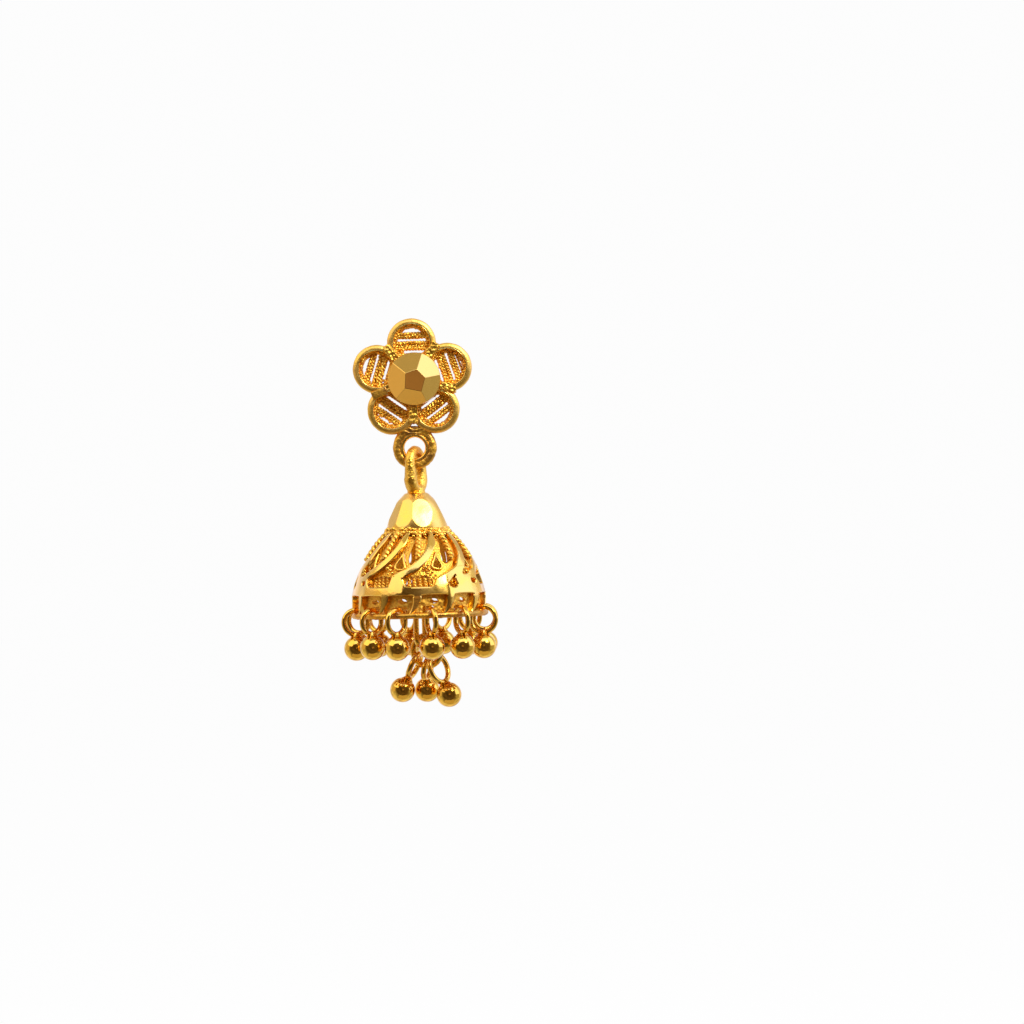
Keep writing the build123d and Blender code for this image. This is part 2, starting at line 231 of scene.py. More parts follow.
RING_FACE = [  # share of the way out from the hole, and of half the thickness
    (0.28, 0.75), (0.4, 0.98), (0.55, 1.0), (0.7, 1.0), (0.84, 0.9), (0.95, 0.62), (1.0, 0.25),
]
RING_LIP = [(0.0, 0.3), (0.03, 0.82), (0.09, 1.0), (0.2, 1.04), (0.3, 0.96), (0.34, 0.7)]

# Loop, cap and collar
LOOP_TURN = -22
LOOP_SWELL = 0.3  # how much thicker the loop's wire is below
LOOP_SWELL_START = 0.2  # below the loop's upper bend
LOOP_PATCHES = [  # side, lean and drop of the flat patches on the loop
    (-1, 0.25, -1.0), (-1, -0.45, -1.55), (1, 0.3, -2.0), (1, -0.3, -0.7),
]
PATCH_FRONT = 0.5  # how far the patches face forwards, and to the side
PATCH_SIDE = 0.8
PATCH_REACH = 0.75
PATCH_DEPTH = 0.86  # as a share of the wire's radius
NECK = [(0.02, 0), (0.86, 0), (0.72, 0.35), (0.66, 0.7), (0.02, 0.7)]
NECK_Z = -9.35
CAP_OUTLINE = [
    (-9.05, 0.0), (-9.05, 0.8), (-9.3, 1.14), (-9.8, 1.6), (-10.4, 1.98), (-11.1, 2.25), (-11.7, 2.41),
    (-12.05, 2.44),
]
CAP_HOLLOW = [(-12.05, 1.75), (-9.9, 0.7), (-9.85, 0.0)]
CAP_TIP = 0.005  # smallest radius of its section
CAP_FACETS = [-30, 13, 95, 136, 177, 218, 259, 300]
CAP_FACET_TILT = 25
CAP_FACET_Z = -10.5
CAP_FACET_REACH = 1.83
COLLAR_ROPES = [(-12.0, 2.4, 0), (-12.22, 2.52, 40)]  # height, radius, turn where it starts
COLLAR_SPANS = 240
COLLAR_SEED = 7
COLLAR_GRAINS = 54
COLLAR_GRAIN_JITTER = 2  # degrees
COLLAR_GRAIN_REACHES = (2.3, 2.5)
COLLAR_GRAIN_HEIGHTS = (-12.2, -11.85)
COLLAR_GRAIN_RADII = (0.12, 0.2)
SMALL_ROPE = 0.17  # half the width of the collar's ropes and of the low strands
ROPE_PITCH = 0.5  # of every twisted wire but the leaves'

# Bell
BELL_TOP = -12.0
FIRST_CELL = -6
WIDE_CELLS = (1, 4, 7)  # cells whose rib ends in a wide plate
PLATE_ROWS = 3  # rows at the foot of a rib's left side that a plate covers
RIB_LEFT = [
    (25.5, -12.15), (23.5, -12.6), (19, -13.24), (12.5, -13.9), (4.5, -14.47), (-2, -14.92), (-8.5, -15.17),
    (-14.5, -15.37), (-18.6, -15.55), (-20, -15.9), (-21.5, -16.3), (-23, -16.44),
]
RIB_RIGHT = [
    (36.5, -12.15), (32.5, -12.9), (25, -13.67), (17, -14.42), (8.5, -15.0), (2, -15.33), (-4.2, -15.55),
    (-7, -15.78), (-6.6, -16.05), (-5, -16.28), (-2, -16.44),
]
WIDE_LEFT = [
    (25.5, -12.15), (24, -12.68), (22, -13.33), (19.5, -13.8), (15.5, -14.18), (10.5, -14.57), (6.4, -14.93),
    (-4, -15.35), (-14, -15.72), (-16, -15.9), (-18, -16.3), (-20.5, -16.46),
]
WIDE_RIGHT = [
    (38, -12.15), (35, -12.8), (31, -13.4), (27.7, -14.0), (24.5, -14.5), (19.8, -14.93), (15.5, -15.3),
    (14.6, -15.55),
]
PLATE_HOLE = [
    (4.2, -15.6), (-1.5, -15.98), (-5.8, -16.28), (-3.5, -16.5), (0, -16.6), (3.6, -16.48), (4.6, -16.3),
    (3.4, -15.95),
]
NARROW_HOLE = [
    (-16.5, -15.97), (-13.5, -15.93), (-10.5, -16.05), (-11, -16.25), (-14, -16.33), (-16.5, -16.2),
]
LEAF_WINDOW = [
    (9, -12.55), (12, -13.2), (10.5, -13.9), (5, -14.5), (-1, -14.75), (-4.2, -14.3), (0.5, -13.2),
]
SIDE_WINDOW = [
    (-11, -13.75), (-8, -14.4), (-5.6, -14.93), (-8.5, -15.2), (-13.5, -15.22), (-18.8, -15.05),
    (-19, -14.75), (-15.6, -14.3),
]
LOW_WINDOW = [
    (-4.5, -16.5), (8, -16.55), (20, -16.5), (20.5, -15.85), (13, -15.6), (4, -15.62), (-3.5, -15.82),
]
LEAF_ROPE = [(10.2, -12.1), (8.8, -12.8), (7.9, -13.4), (7.4, -13.9), (6.6, -14.35)]
LEAF_ROPE_RADIUS = 0.27
LEAF_ROPE_PITCH = 0.78
LEAF_ROPE_DEPTH = -0.1
BELL_ROPE_STEP = 0.06
LOW_STRANDS = [(-2, -16.5), (3.5, -16.5), (9, -16.5), (14.5, -16.5), (19.5, -16.5)]
STRAND_RISE = 1.15
STRAND_LEAN = 1.5
STRAND_DEPTH = -0.62
FRAME_WIRE = 0.11
FRAME_DEPTH = -0.3
FRAME_ROOM = 0.1  # how much wider than its window a frame is
GRAINS = [  # small grains of solder: turn in the cell, height, radius
    (17, -14.8, 0.15), (14.4, -14.98, 0.17), (17.8, -15.14, 0.16), (20.8, -15.36, 0.14),
    (16.2, -15.42, 0.12), (23.5, -15.62, 0.13), (15.5, -12.3, 0.17), (19.5, -12.42, 0.15),
    (4.6, -12.3, 0.16), (0.5, -12.5, 0.14),
]
SOLDER_DEPTH = -0.12
CLAW_LEFT = [
    (-5.2, -17.12), (-4.4, -17.35), (-4.3, -17.7), (-5.6, -18.15), (-8.2, -18.6), (-12.6, -19.05),
]
CLAW_RIGHT = [
    (4.8, -17.12), (3.4, -17.35), (2.2, -17.7), (-0.8, -18.15), (-5.2, -18.6), (-9.4, -19.05),
]
CLAW_GAP_FOOT = [(-6, -19.5), (14, -19.5)]  # below the claws, where the gaps between them open out
OPENWORK_BOTTOM = -19.0
OPENWORK_BACK = -0.5
OPENWORK_CHAMFER = 0.06
CHAMFER_SPREAD = 1.3  # width of a chamfer along the wall, as a share of its depth
LATTICE_BOTTOM = -16.62
LATTICE_FRONT = -0.42
LATTICE_BACK = -0.62
EYE = [(-4.4, -17.62), (-2.2, -17.8), (2.2, -17.8), (4.4, -17.62), (2.2, -17.44), (-2.2, -17.44)]
LINING_RADIUS = 4.85  # outside radius of the lining behind the claws
LINING_WALL = -0.26
LINING_TOP = -16.9
LINING_BOTTOM = -18.48
NOTCH_TOP = -17.98
NOTCH_SHOULDER = -18.1
NOTCH_FOOT = -19
NOTCH_WIDTH = 0.96
NOTCH_TAPER = 0.7
CLAW_SPREAD = 0.1  # how far the claws' feet lie outside the rim wire's ring
WALL_SCALE = 0.08  # mm along the wall for each degree of turn
OPENWORK_STEP = 2  # degrees between the points of the openwork and of the lining
LATTICE_STEP = 3
NEAR = 1e-6  # points of the flattened wall closer than this are one
ON_EDGE = 1e-4  # a point this close to an outline lies on it
SEAM_MARGIN = 1e-5
SKIN = 0.08  # how far the polished openwork stands out from the wall
FACET_TURN = -12.5  # turn of one crease between the facets of the band
FACET_SPAN = 40
FACET_TOP = -15.0
FACET_FADE = 0.6  # height over which the facets begin
FACET_DEPTH = 0.42  # share of a true flat that the facets reach

# Drops
RIM_DROPS = [  # shift from its even place, turn of its ring, and ring radius
    (-4, 12, 0.96), (-5, -9, 0.98), (-1.5, 4, 1.03), (-3.5, 12, 0.95),
    (-3.5, -7, 0.96), (-3.5, -20, 0.94), (-3.5, 25, 0.95), (-3.5, 8, 0.96),
    (-3.5, -10, 0.95), (-1.5, 5, 0.98), (-0.5, -6, 0.93), (-4.5, -25, 0.96),
]
DROPS = len(RIM_DROPS)
HAIRPIN_TURN = 60
CENTRE_TURN = -25
CENTRE_SHIFT = 0.52 * MM
EYE_ROOM = 0.075 * MM
CLUSTER_ROOM = 0.09 * MM
CLUSTER = [  # place on the centre ring, way the drop's ring faces, ring radius, where the ball hangs
    (-50, 80, 1.06, (-1.82, -0.05, -25.2)),
    (0, 66, 0.86, (0.34, 1.0, -25.15)),
    (41, 58, 1.15, (2.26, -0.6, -25.6)),
]
BALL_NECK = [(0.01, 0), (0.5, 0), (0.36, 0.14), (0.25, 0.34), (0.01, 0.34)]
NECK_SHARE = 0.9  # of the ball's radius, where the neck starts

# Twisted wires
STRAND_SHARE = 0.56  # radius of each of the two wires, as a share of the rope's

# Stage, in metres
AIM_Z = -12 * MM
TENT_RADIUS = 0.18
TENT_TONES = [  # tone of the tent from the front (0) to the back (1)
    (0.0, (0.08, 0.055, 0.045)),
    (0.22, (0.11, 0.08, 0.06)),
    (0.32, (0.3, 0.27, 0.24)),
    (0.48, (0.5, 0.48, 0.44)),
    (0.7, (0.74, 0.74, 0.85)),
    (1.0, (0.88, 0.88, 1.1)),
]
CARD_DISTANCE = 0.15
CARDS = [  # flat lights: turn from the front, rise, the angles that each spans, and its tone
    ("near_card", 6, 2, 16, 13, (0.34, 0.22, 0.17)),
    ("top_box", 14, 57, 64, 28, (1.45, 1.65, 2.7)),
    ("upper_left_box", -66, 43, 54, 48, (1.6, 1.5, 1.6)),
    ("upper_right_box", 92, 42, 40, 26, (1.4, 1.6, 2.9)),
    ("right_box", 88, 13, 42, 30, (1.4, 1.6, 2.9)),
    ("lower_right_card", 88, -16, 40, 22, (0.42, 0.42, 0.4)),
    ("left_box", -90, 4, 40, 34, (0.66, 0.54, 0.42)),
    ("low_card", 0, -72, 120, 36, (0.55, 0.46, 0.34)),
]
KEY_LIGHT = ((0.3, -0.34, 0.36), 0.12, 2.2)  # place from the aim, size and power
WORLD_TONE = 0.98
FLOOR_RADIUS = 6
FLOOR_GLOW = 0.49
SENSOR = 36
CLIP = (0.001, 50)


# ---------------------------------------------------------------- places


def outward(turn):
    """Level direction away from the bell's axis."""
    return Vector((math.sin(math.radians(turn)), -math.cos(math.radians(turn)), 0))


def across(turn):
    """Level direction along the bell's wall, to the right of outward."""
    return Vector((math.cos(math.radians(turn)), math.sin(math.radians(turn)), 0))


def flower_way(turn):
    """Direction away from the flower's middle."""
    return Vector((math.cos(math.radians(turn)), 0, math.sin(math.radians(turn))))


def on_axis(z):
    return Vector((0, HANG_Y, z))


def wall_radius(z):
    """Outside radius of the bell at a height."""
    bell = bpy.context.scene.jhumka_bell
    if z < bell.band_bottom:
        share = (z - bell.band_bottom) / (bell.rim_z - bell.band_bottom)
        top = wall_radius(bell.band_bottom)
        return top + share * (bell.rim_radius + CLAW_SPREAD * MM - top)
    return bell.arc_r + math.sqrt(bell.arc_radius**2 - (z - bell.arc_z) ** 2)


def facet_sink(turn, z):
    """How far the facets of the band and plates lie behind a round wall."""
    share = min(max((FACET_TOP * MM - z) / (FACET_FADE * MM), 0), 1)
    from_middle = (turn - FACET_TURN) % FACET_SPAN - FACET_SPAN / 2
    flat = math.cos(math.radians(FACET_SPAN / 2)) / math.cos(math.radians(from_middle))
    return FACET_DEPTH * share * wall_radius(z) * (1 - flat)


def wall_point(turn, z, lift=0.0, faceted=False):
    sink = facet_sink(turn, z) if faceted else 0
    return on_axis(z) + outward(turn) * (wall_radius(z) - sink + lift)


def shifted(outline, turn):
    """An outline on the wall, moved round the bell."""
    return [(turn + a, z) for a, z in outline]


def arc(middle, side, up, radius, first, last, steps):
    """Points along an arc between two angles in degrees, both ends included."""
    points = []
    for step in range(steps + 1):
        angle = math.radians(first + (last - first) * step / steps)
        points.append(middle + side * (radius * math.cos(angle)) + up * (radius * math.sin(angle)))
    return points


def circle(middle, side, up, radius, count):
    return arc(middle, side, up, radius, 0, ROUND, count)[:-1]


def smooth_line(rows, steps, closed=False):
    """Rows of numbers, spaced out along a smooth curve through them."""
    count = len(rows)
    spans = count if closed else count - 1
    line = []
    for span in range(spans):
        near = []
        for offset in (-1, 0, 1, 2):
            place = span + offset
            near.append(rows[place % count] if closed else rows[min(max(place, 0), count - 1)])
        for step in range(steps):
            t = step / steps
            weights = (
                -0.5 * t + t * t - 0.5 * t**3,
                1 - 2.5 * t * t + 1.5 * t**3,
                0.5 * t + 2 * t * t - 1.5 * t**3,
                -0.5 * t * t + 0.5 * t**3,
            )
            columns = zip(*near)
            line.append(tuple(sum(w * value for w, value in zip(weights, column)) for column in columns))
    if not closed:
        line.append(tuple(rows[-1]))
    return line


# ---------------------------------------------------------------- modelling tools


def only(piece):
    """Selects one piece and nothing else."""
    if bpy.context.object and bpy.context.object.mode != "OBJECT":
        bpy.ops.object.mode_set(mode="OBJECT")
    bpy.ops.object.select_all(action="DESELECT")
    piece.select_set(True)
    bpy.context.view_layer.objects.active = piece


def clear_selection():
    bpy.ops.object.select_all(action="DESELECT")


def settle(piece):
    """Puts a piece's place, turn and scale into its mesh."""
    only(piece)
    bpy.ops.object.transform_apply(location=True, rotation=True, scale=True)


def modified(piece, kind, **settings):
    """Adds one modifier and applies it."""
    only(piece)
    modifier = piece.modifiers.new(kind.title(), kind)
    for name, value in settings.items():
        setattr(modifier, name, value)
    bpy.ops.object.modifier_apply(modifier=modifier.name)


def clean(piece):
    """Merges doubles and turns the faces outwards."""
    only(piece)
    bpy.ops.object.mode_set(mode="EDIT")
    bpy.ops.mesh.select_all(action="SELECT")
    bpy.ops.mesh.remove_doubles(threshold=MERGE)
    bpy.ops.mesh.normals_make_consistent(inside=False)
    bpy.ops.object.mode_set(mode="OBJECT")


def shaded(piece, degrees):
    only(piece)
    bpy.ops.object.shade_smooth_by_angle(angle=math.radians(degrees))


def joined(pieces, name):
    only(pieces[0])
    for piece in pieces[1:]:
        piece.select_set(True)
    if len(pieces) > 1:
        bpy.ops.object.join()
    piece = bpy.context.view_layer.objects.active
    piece.name = name
    return piece


def copied(piece, matrix):
    """A copy with its own mesh, moved by a matrix."""
    only(piece)
    bpy.ops.object.duplicate(linked=False)
    copy = bpy.context.view_layer.objects.active
    copy.matrix_world = matrix @ copy.matrix_world
    settle(copy)
    return copy


def wire(points, radius, closed=False, sides=2, swell=None):
    """Round wire along points, as a mesh."""
    clear_selection()
    line = bpy.data.curves.new("wire", "CURVE")
    line.dimensions = "3D"
    line.bevel_depth = radius
    line.bevel_resolution = sides
    line.use_fill_caps = not closed
    spline = line.splines.new("POLY")
    spline.points.add(len(points) - 1)
    for place, point in zip(spline.points, points):
        place.co = (*point, 1)
    if swell:
        spline.points.foreach_set("radius", swell)
    spline.use_cyclic_u = closed
    piece = bpy.data.objects.new("wire", line)
    bpy.context.scene.collection.objects.link(piece)
    only(piece)
    bpy.ops.object.convert(target="MESH")
    piece = bpy.context.view_layer.objects.active
    clean(piece)
    return piece


def turned(section, centre, axis, steps=96):
    """A closed section of (radius, along the axis), spun right round."""
    clear_selection()
    side = axis.orthogonal().normalized()
    bpy.ops.mesh.primitive_circle_add(vertices=len(section), radius=MM, fill_type="NOTHING")
    piece = bpy.context.view_layer.objects.active
    for vertex, (radius, height) in zip(piece.data.vertices, section):
        vertex.co = centre + side * radius + axis * height
    only(piece)
    bpy.ops.object.mode_set(mode="EDIT")
    bpy.ops.mesh.select_all(action="SELECT")
    bpy.ops.mesh.spin(steps=steps, angle=2 * math.pi, center=centre, axis=axis)
    bpy.ops.object.mode_set(mode="OBJECT")
    clean(piece)
    return piece


def twisted_rope(points, normals, radius, pitch):
    """Two wires wound round each other along a route."""
    strand = radius * STRAND_SHARE
    travelled = 0.0
    lines = ([], [])
    for place, point in enumerate(points):
        ahead = points[min(place + 1, len(points) - 1)]
        behind = points[max(place - 1, 0)]
        along = (ahead - behind).normalized()
        side = along.cross(normals[place]).normalized()
        lift = side.cross(along).normalized()
        travelled += (point - behind).length
        for half, line in enumerate(lines):
            angle = 2 * math.pi * travelled / pitch + math.pi * half
            line.append(point + (side * math.cos(angle) + lift * math.sin(angle)) * (radius - strand))
    return [wire(line, strand, sides=1) for line in lines]


def resampled(points, step):
    """Points spaced evenly along a route."""
    total = sum((b - a).length for a, b in zip(points, points[1:]))
    count = max(2, round(total / step))
    result = []
    target = 0.0
    walked = 0.0
    for a, b in zip(points, points[1:]):
        span = (b - a).length
        while target <= walked + span + 1e-9 and len(result) <= count:
            result.append(a.lerp(b, (target - walked) / span))
            target += total / count
        walked += span
    return result


def grown(outline, amount):
    """A closed outline on the wall, widened by an amount in mm."""
    wider = []
    for place, (turn, z) in enumerate(outline):
        radius = wall_radius(z * MM) / MM * math.pi / 180
        before = outline[place - 1]
        after = outline[(place + 1) % len(outline)]
        along = Vector(((after[0] - before[0]) * radius, after[1] - before[1])).normalized()
        wider.append((turn + along.y * amount / radius, z - along.x * amount))
    return wider


def within(place, outline):
    """Whether a place of turn and height lies inside a closed outline."""
    inside = False
    for a, b in zip(outline, outline[1:] + outline[:1]):
        if (a[1] > place[1]) != (b[1] > place[1]):
            if place[0] < a[0] + (b[0] - a[0]) * (place[1] - a[1]) / (b[1] - a[1]):
                inside = not inside
    return inside


def over_seam(openings, chamfer):
    """Openings and the edges of their chamfers, with the copies that reach over the seam."""
    half = ROUND / 2
    inner = []
    outer = []
    for opening in openings:
        signed = sum(a[0] * b[1] - b[0] * a[1] for a, b in zip(opening, opening[1:] + opening[:1]))
        for shift in (-ROUND, 0, ROUND):
            outline = shifted(opening if signed > 0 else opening[::-1], shift)
            if max(turn for turn, z in outline) > -half and min(turn for turn, z in outline) < half:
                inner.append(outline)
                outer.append(grown(outline, chamfer * CHAMFER_SPREAD) if chamfer else outline)
    return inner, outer


def wall_grid(openings, top, bottom, step):
    """Points spaced evenly over the flattened wall, outside its openings."""
    boxes = []
    for outline in openings:
        turns, heights = zip(*outline)
        boxes.append((min(turns), max(turns), min(heights), max(heights)))
    columns = round(ROUND / step)
    rows = round((top - bottom) / (step * WALL_SCALE))
    points = []
    for column in range(columns + 1):
        for row in range(rows + 1):
            place = (-ROUND / 2 + column * step, bottom + (top - bottom) * row / rows)
            near = [
                outline for box, outline in zip(boxes, openings)
                if box[0] <= place[0] <= box[1] and box[2] <= place[1] <= box[3]
            ]
            if not any(within(place, outline) for outline in near):
                points.append(Vector((place[0] * WALL_SCALE, place[1])))
    return points


def wall_faces(faces, flat):
    """Faces of both skins of a wall, and of the edges that join them."""
    count = len(flat)
    sides = {}
    for face in faces:
        for a, b in zip(face, face[1:] + face[:1]):
            if (b, a) in sides:
                del sides[(b, a)]
            else:
                sides[(a, b)] = True
    seam = ROUND / 2 * WALL_SCALE - SEAM_MARGIN
    joining = [pair for pair in sides if any(abs(flat[number].x) < seam for number in pair)]
    back = [[a + count for a in reversed(face)] for face in faces]
    return faces + back + [[b, a, a + count, b + count] for a, b in joining]


def pierced_wall(
    openings, top, bottom, front, back, step, chamfer=0.0, faceted=False, lining=False
):
    """Wall of the bell between two heights, pierced by closed outlines with chamfered edges."""
    half = ROUND / 2
    inner, outer = over_seam(openings, chamfer)
    frame_corners = ((-1, bottom), (1, bottom), (1, top), (-1, top))
    points = [Vector((half * x * WALL_SCALE, z)) for x, z in frame_corners]
    faces = [[0, 1, 2, 3]]
    edges = []
    low = set()
    for outline, edge in zip(inner, outer):
        numbers = list(range(len(points), len(points) + len(outline)))
        points += [Vector((turn * WALL_SCALE, z)) for turn, z in outline]
        faces.append(numbers)
        low.update(numbers)
        if chamfer:
            numbers = [number + len(outline) for number in numbers]
            points += [Vector((turn * WALL_SCALE, z)) for turn, z in edge]
            edges += zip(numbers, numbers[1:] + numbers[:1])
    points += wall_grid(outer, top, bottom, step)
    flat, _, triangles, sources, _, owners = delaunay_2d_cdt(points, edges, faces, 0, NEAR, True)
    kept = [list(face) for face, owner in zip(triangles, owners) if list(owner) == [0]]
    skins = ([], [])
    for place, source in zip(flat, sources):
        sunk = any(number in low for number in source)
        if not source:
            sunk = min(outline_distance(place, outline) for outline in inner) < ON_EDGE
        turn = place.x / WALL_SCALE
        z = place.y * MM
        for skin, depth in zip(skins, (front - chamfer if sunk else front, back)):
            if lining:
                skin.append(on_axis(z) + outward(turn) * (LINING_RADIUS + depth) * MM)
            else:
                skin.append(wall_point(turn, z, depth * MM, faceted))
    mesh = bpy.data.meshes.new("wall")
    mesh.from_pydata(skins[0] + skins[1], [], wall_faces(kept, flat))
    piece = bpy.data.objects.new("wall", mesh)
    bpy.context.scene.collection.objects.link(piece)
    only(piece)
    bpy.ops.object.mode_set(mode="EDIT")
    bpy.ops.mesh.select_all(action="SELECT")
    bpy.ops.mesh.delete_loose()
    bpy.ops.object.mode_set(mode="OBJECT")
    clean(piece)
    return piece


def outline_distance(place, outline):
    """Distance along the flattened wall from a place to an outline."""
    nearest = 1e9
    for a, b in zip(outline, outline[1:] + outline[:1]):
        start = Vector((a[0] * WALL_SCALE, a[1]))
        side = Vector((b[0] * WALL_SCALE, b[1])) - start
        share = min(max((place - start).dot(side) / max(side.length_squared, 1e-12), 0), 1)
        nearest = min(nearest, (place - start - side * share).length)
    return nearest


def roughened(piece, depth, size, cuts=0):
    """Gives a surface the grain of a casting, of a depth and size in mm."""
    if cuts:
        modified(piece, "SUBSURF", levels=cuts, render_levels=cuts, subdivision_type="SIMPLE")
    grain = bpy.data.textures.new("grain", "CLOUDS")
    grain.noise_scale = size * MM
    grain.noise_depth = 1
    modified(
        piece, "DISPLACE", texture=grain, strength=depth * MM, mid_level=0.5, texture_coords="LOCAL"
    )


def sliced(piece, point, normal):
    """Cuts away what lies beyond a plane and closes the cut."""
    only(piece)
    bpy.ops.object.mode_set(mode="EDIT")
    bpy.ops.mesh.select_all(action="SELECT")
    bpy.ops.mesh.bisect(plane_co=point, plane_no=normal, use_fill=True, clear_outer=True, threshold=1e-8)
    bpy.ops.object.mode_set(mode="OBJECT")


def pressed_flat(piece, base, normal, depth, reach):
    """Presses the part of a wire near a point flat against a plane."""
    for vertex in piece.data.vertices:
        offset = vertex.co - base
        above = offset.dot(normal) - depth
        if offset.length < reach and above > 0:
            vertex.co -= normal * above


def block(place, size, turn=0.0):
    """A box, turned in the plane of the flower."""
    clear_selection()
    bpy.ops.mesh.primitive_cube_add(size=1, location=place, rotation=(0, -math.radians(turn), 0))
    box = bpy.context.view_layer.objects.active
    box.scale = size
    settle(box)
    return box


def grain_ball():
    """A ball of 1 mm radius that the grains are copied from."""
    clear_selection()
    bpy.ops.mesh.primitive_ico_sphere_add(subdivisions=2, radius=MM)
    return bpy.context.view_layer.objects.active


def placed_grain(ball, place, radius):
    """A copy of the ball, with its radius in mm."""
    return copied(ball, Matrix.Translation(place) @ Matrix.Scale(radius, 4))


def finished(piece, name, body, gold_name, nodes):
    """Names a piece, gives it its finish and ties it to the frame."""
    piece.name = name
    piece.data.name = name
    settle(piece)
    piece.data.materials.clear()
    piece.data.materials.append(gold(gold_name))
    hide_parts(*nodes)
    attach(piece, body)


def flower_piece(piece, name, gold_name):
    finished(piece, name, "stud", gold_name, ["flower"])


def bell_piece(piece, name, gold_name):
    finished(piece, name, "drop", gold_name, ["bell"])


# ---------------------------------------------------------------- finishes


def node(tree, kind, place, inputs=(), **values):
    """Adds a shader node, with the numbers of its inputs and its own settings."""
    made = tree.nodes.new(kind)
    made.location = place
    for name, value in dict(inputs).items():
        made.inputs[name].default_value = value
    for name, value in values.items():
        setattr(made, name, value)
    return made


def set_ramp(ramp, stops):
    """Gives a colour ramp its stops, as rows of (place, colour)."""
    for number, (stop, shade) in enumerate(stops):
        if number > 1:
            ramp.elements.new(stop)
        ramp.elements[number].position = stop
        ramp.elements[number].color = (*shade, 1)


def gold(name):
    """Gold with uneven polish, a fine grain and slow waves, all on object coordinates."""
    if name in bpy.data.materials:
        return bpy.data.materials[name]
    base_name, deep_name, (sleek, dull), grain_size, grain_depth, wave_depth = GOLDS[name]
    finish = bpy.context.scene.jhumka_finish
    base = tuple(getattr(finish, base_name))
    deep = tuple(getattr(finish, deep_name))
    material = bpy.data.materials.new(name)
    material.use_nodes = True
    tree = material.node_tree
    shader = tree.nodes["Principled BSDF"]
    shader.inputs["Metallic"].default_value = 1.0
    place = node(tree, "ShaderNodeTexCoord", (-1200, 0))

    patches = node(tree, "ShaderNodeTexNoise", (-1000, 300), {"Scale": PATCH_SCALE, "Detail": 4})
    tree.links.new(place.outputs["Object"], patches.inputs["Vector"])
    if base_name == deep_name:
        shader.inputs["Base Color"].default_value = (*base, 1)
    else:
        tint = node(tree, "ShaderNodeValToRGB", (-700, 300))
        set_ramp(tint.color_ramp, list(zip(PATCH_TINT, (deep, base))))
        tree.links.new(patches.outputs["Fac"], tint.inputs["Fac"])
        tree.links.new(tint.outputs["Color"], shader.inputs["Base Color"])

    low, high = PATCH_POLISH
    limits = {"From Min": low, "From Max": high, "To Min": sleek, "To Max": dull}
    polish = node(tree, "ShaderNodeMapRange", (-700, 50), limits)
    tree.links.new(patches.outputs["Fac"], polish.inputs["Value"])
    tree.links.new(polish.outputs["Result"], shader.inputs["Roughness"])

    scale = {"Scale": 1 / (grain_size * MM)}
    grain = node(tree, "ShaderNodeTexVoronoi", (-1000, 0), scale, feature="SMOOTH_F1")
    tree.links.new(place.outputs["Object"], grain.inputs["Vector"])
    fine = node(tree, "ShaderNodeBump", (-400, -100), {"Strength": 1, "Distance": grain_depth * MM})
    tree.links.new(grain.outputs["Distance"], fine.inputs["Height"])
    tree.links.new(fine.outputs["Normal"], shader.inputs["Normal"])
    if wave_depth:
        waves = node(tree, "ShaderNodeTexNoise", (-1000, -400), {"Scale": WAVE_SCALE, "Detail": 1})
        tree.links.new(place.outputs["Object"], waves.inputs["Vector"])
        slow = node(tree, "ShaderNodeBump", (-600, -400), {"Strength": 1, "Distance": wave_depth * MM})
        tree.links.new(waves.outputs["Fac"], slow.inputs["Height"])
        tree.links.new(slow.outputs["Normal"], fine.inputs["Normal"])
    return material


# ---------------------------------------------------------------- flower stud


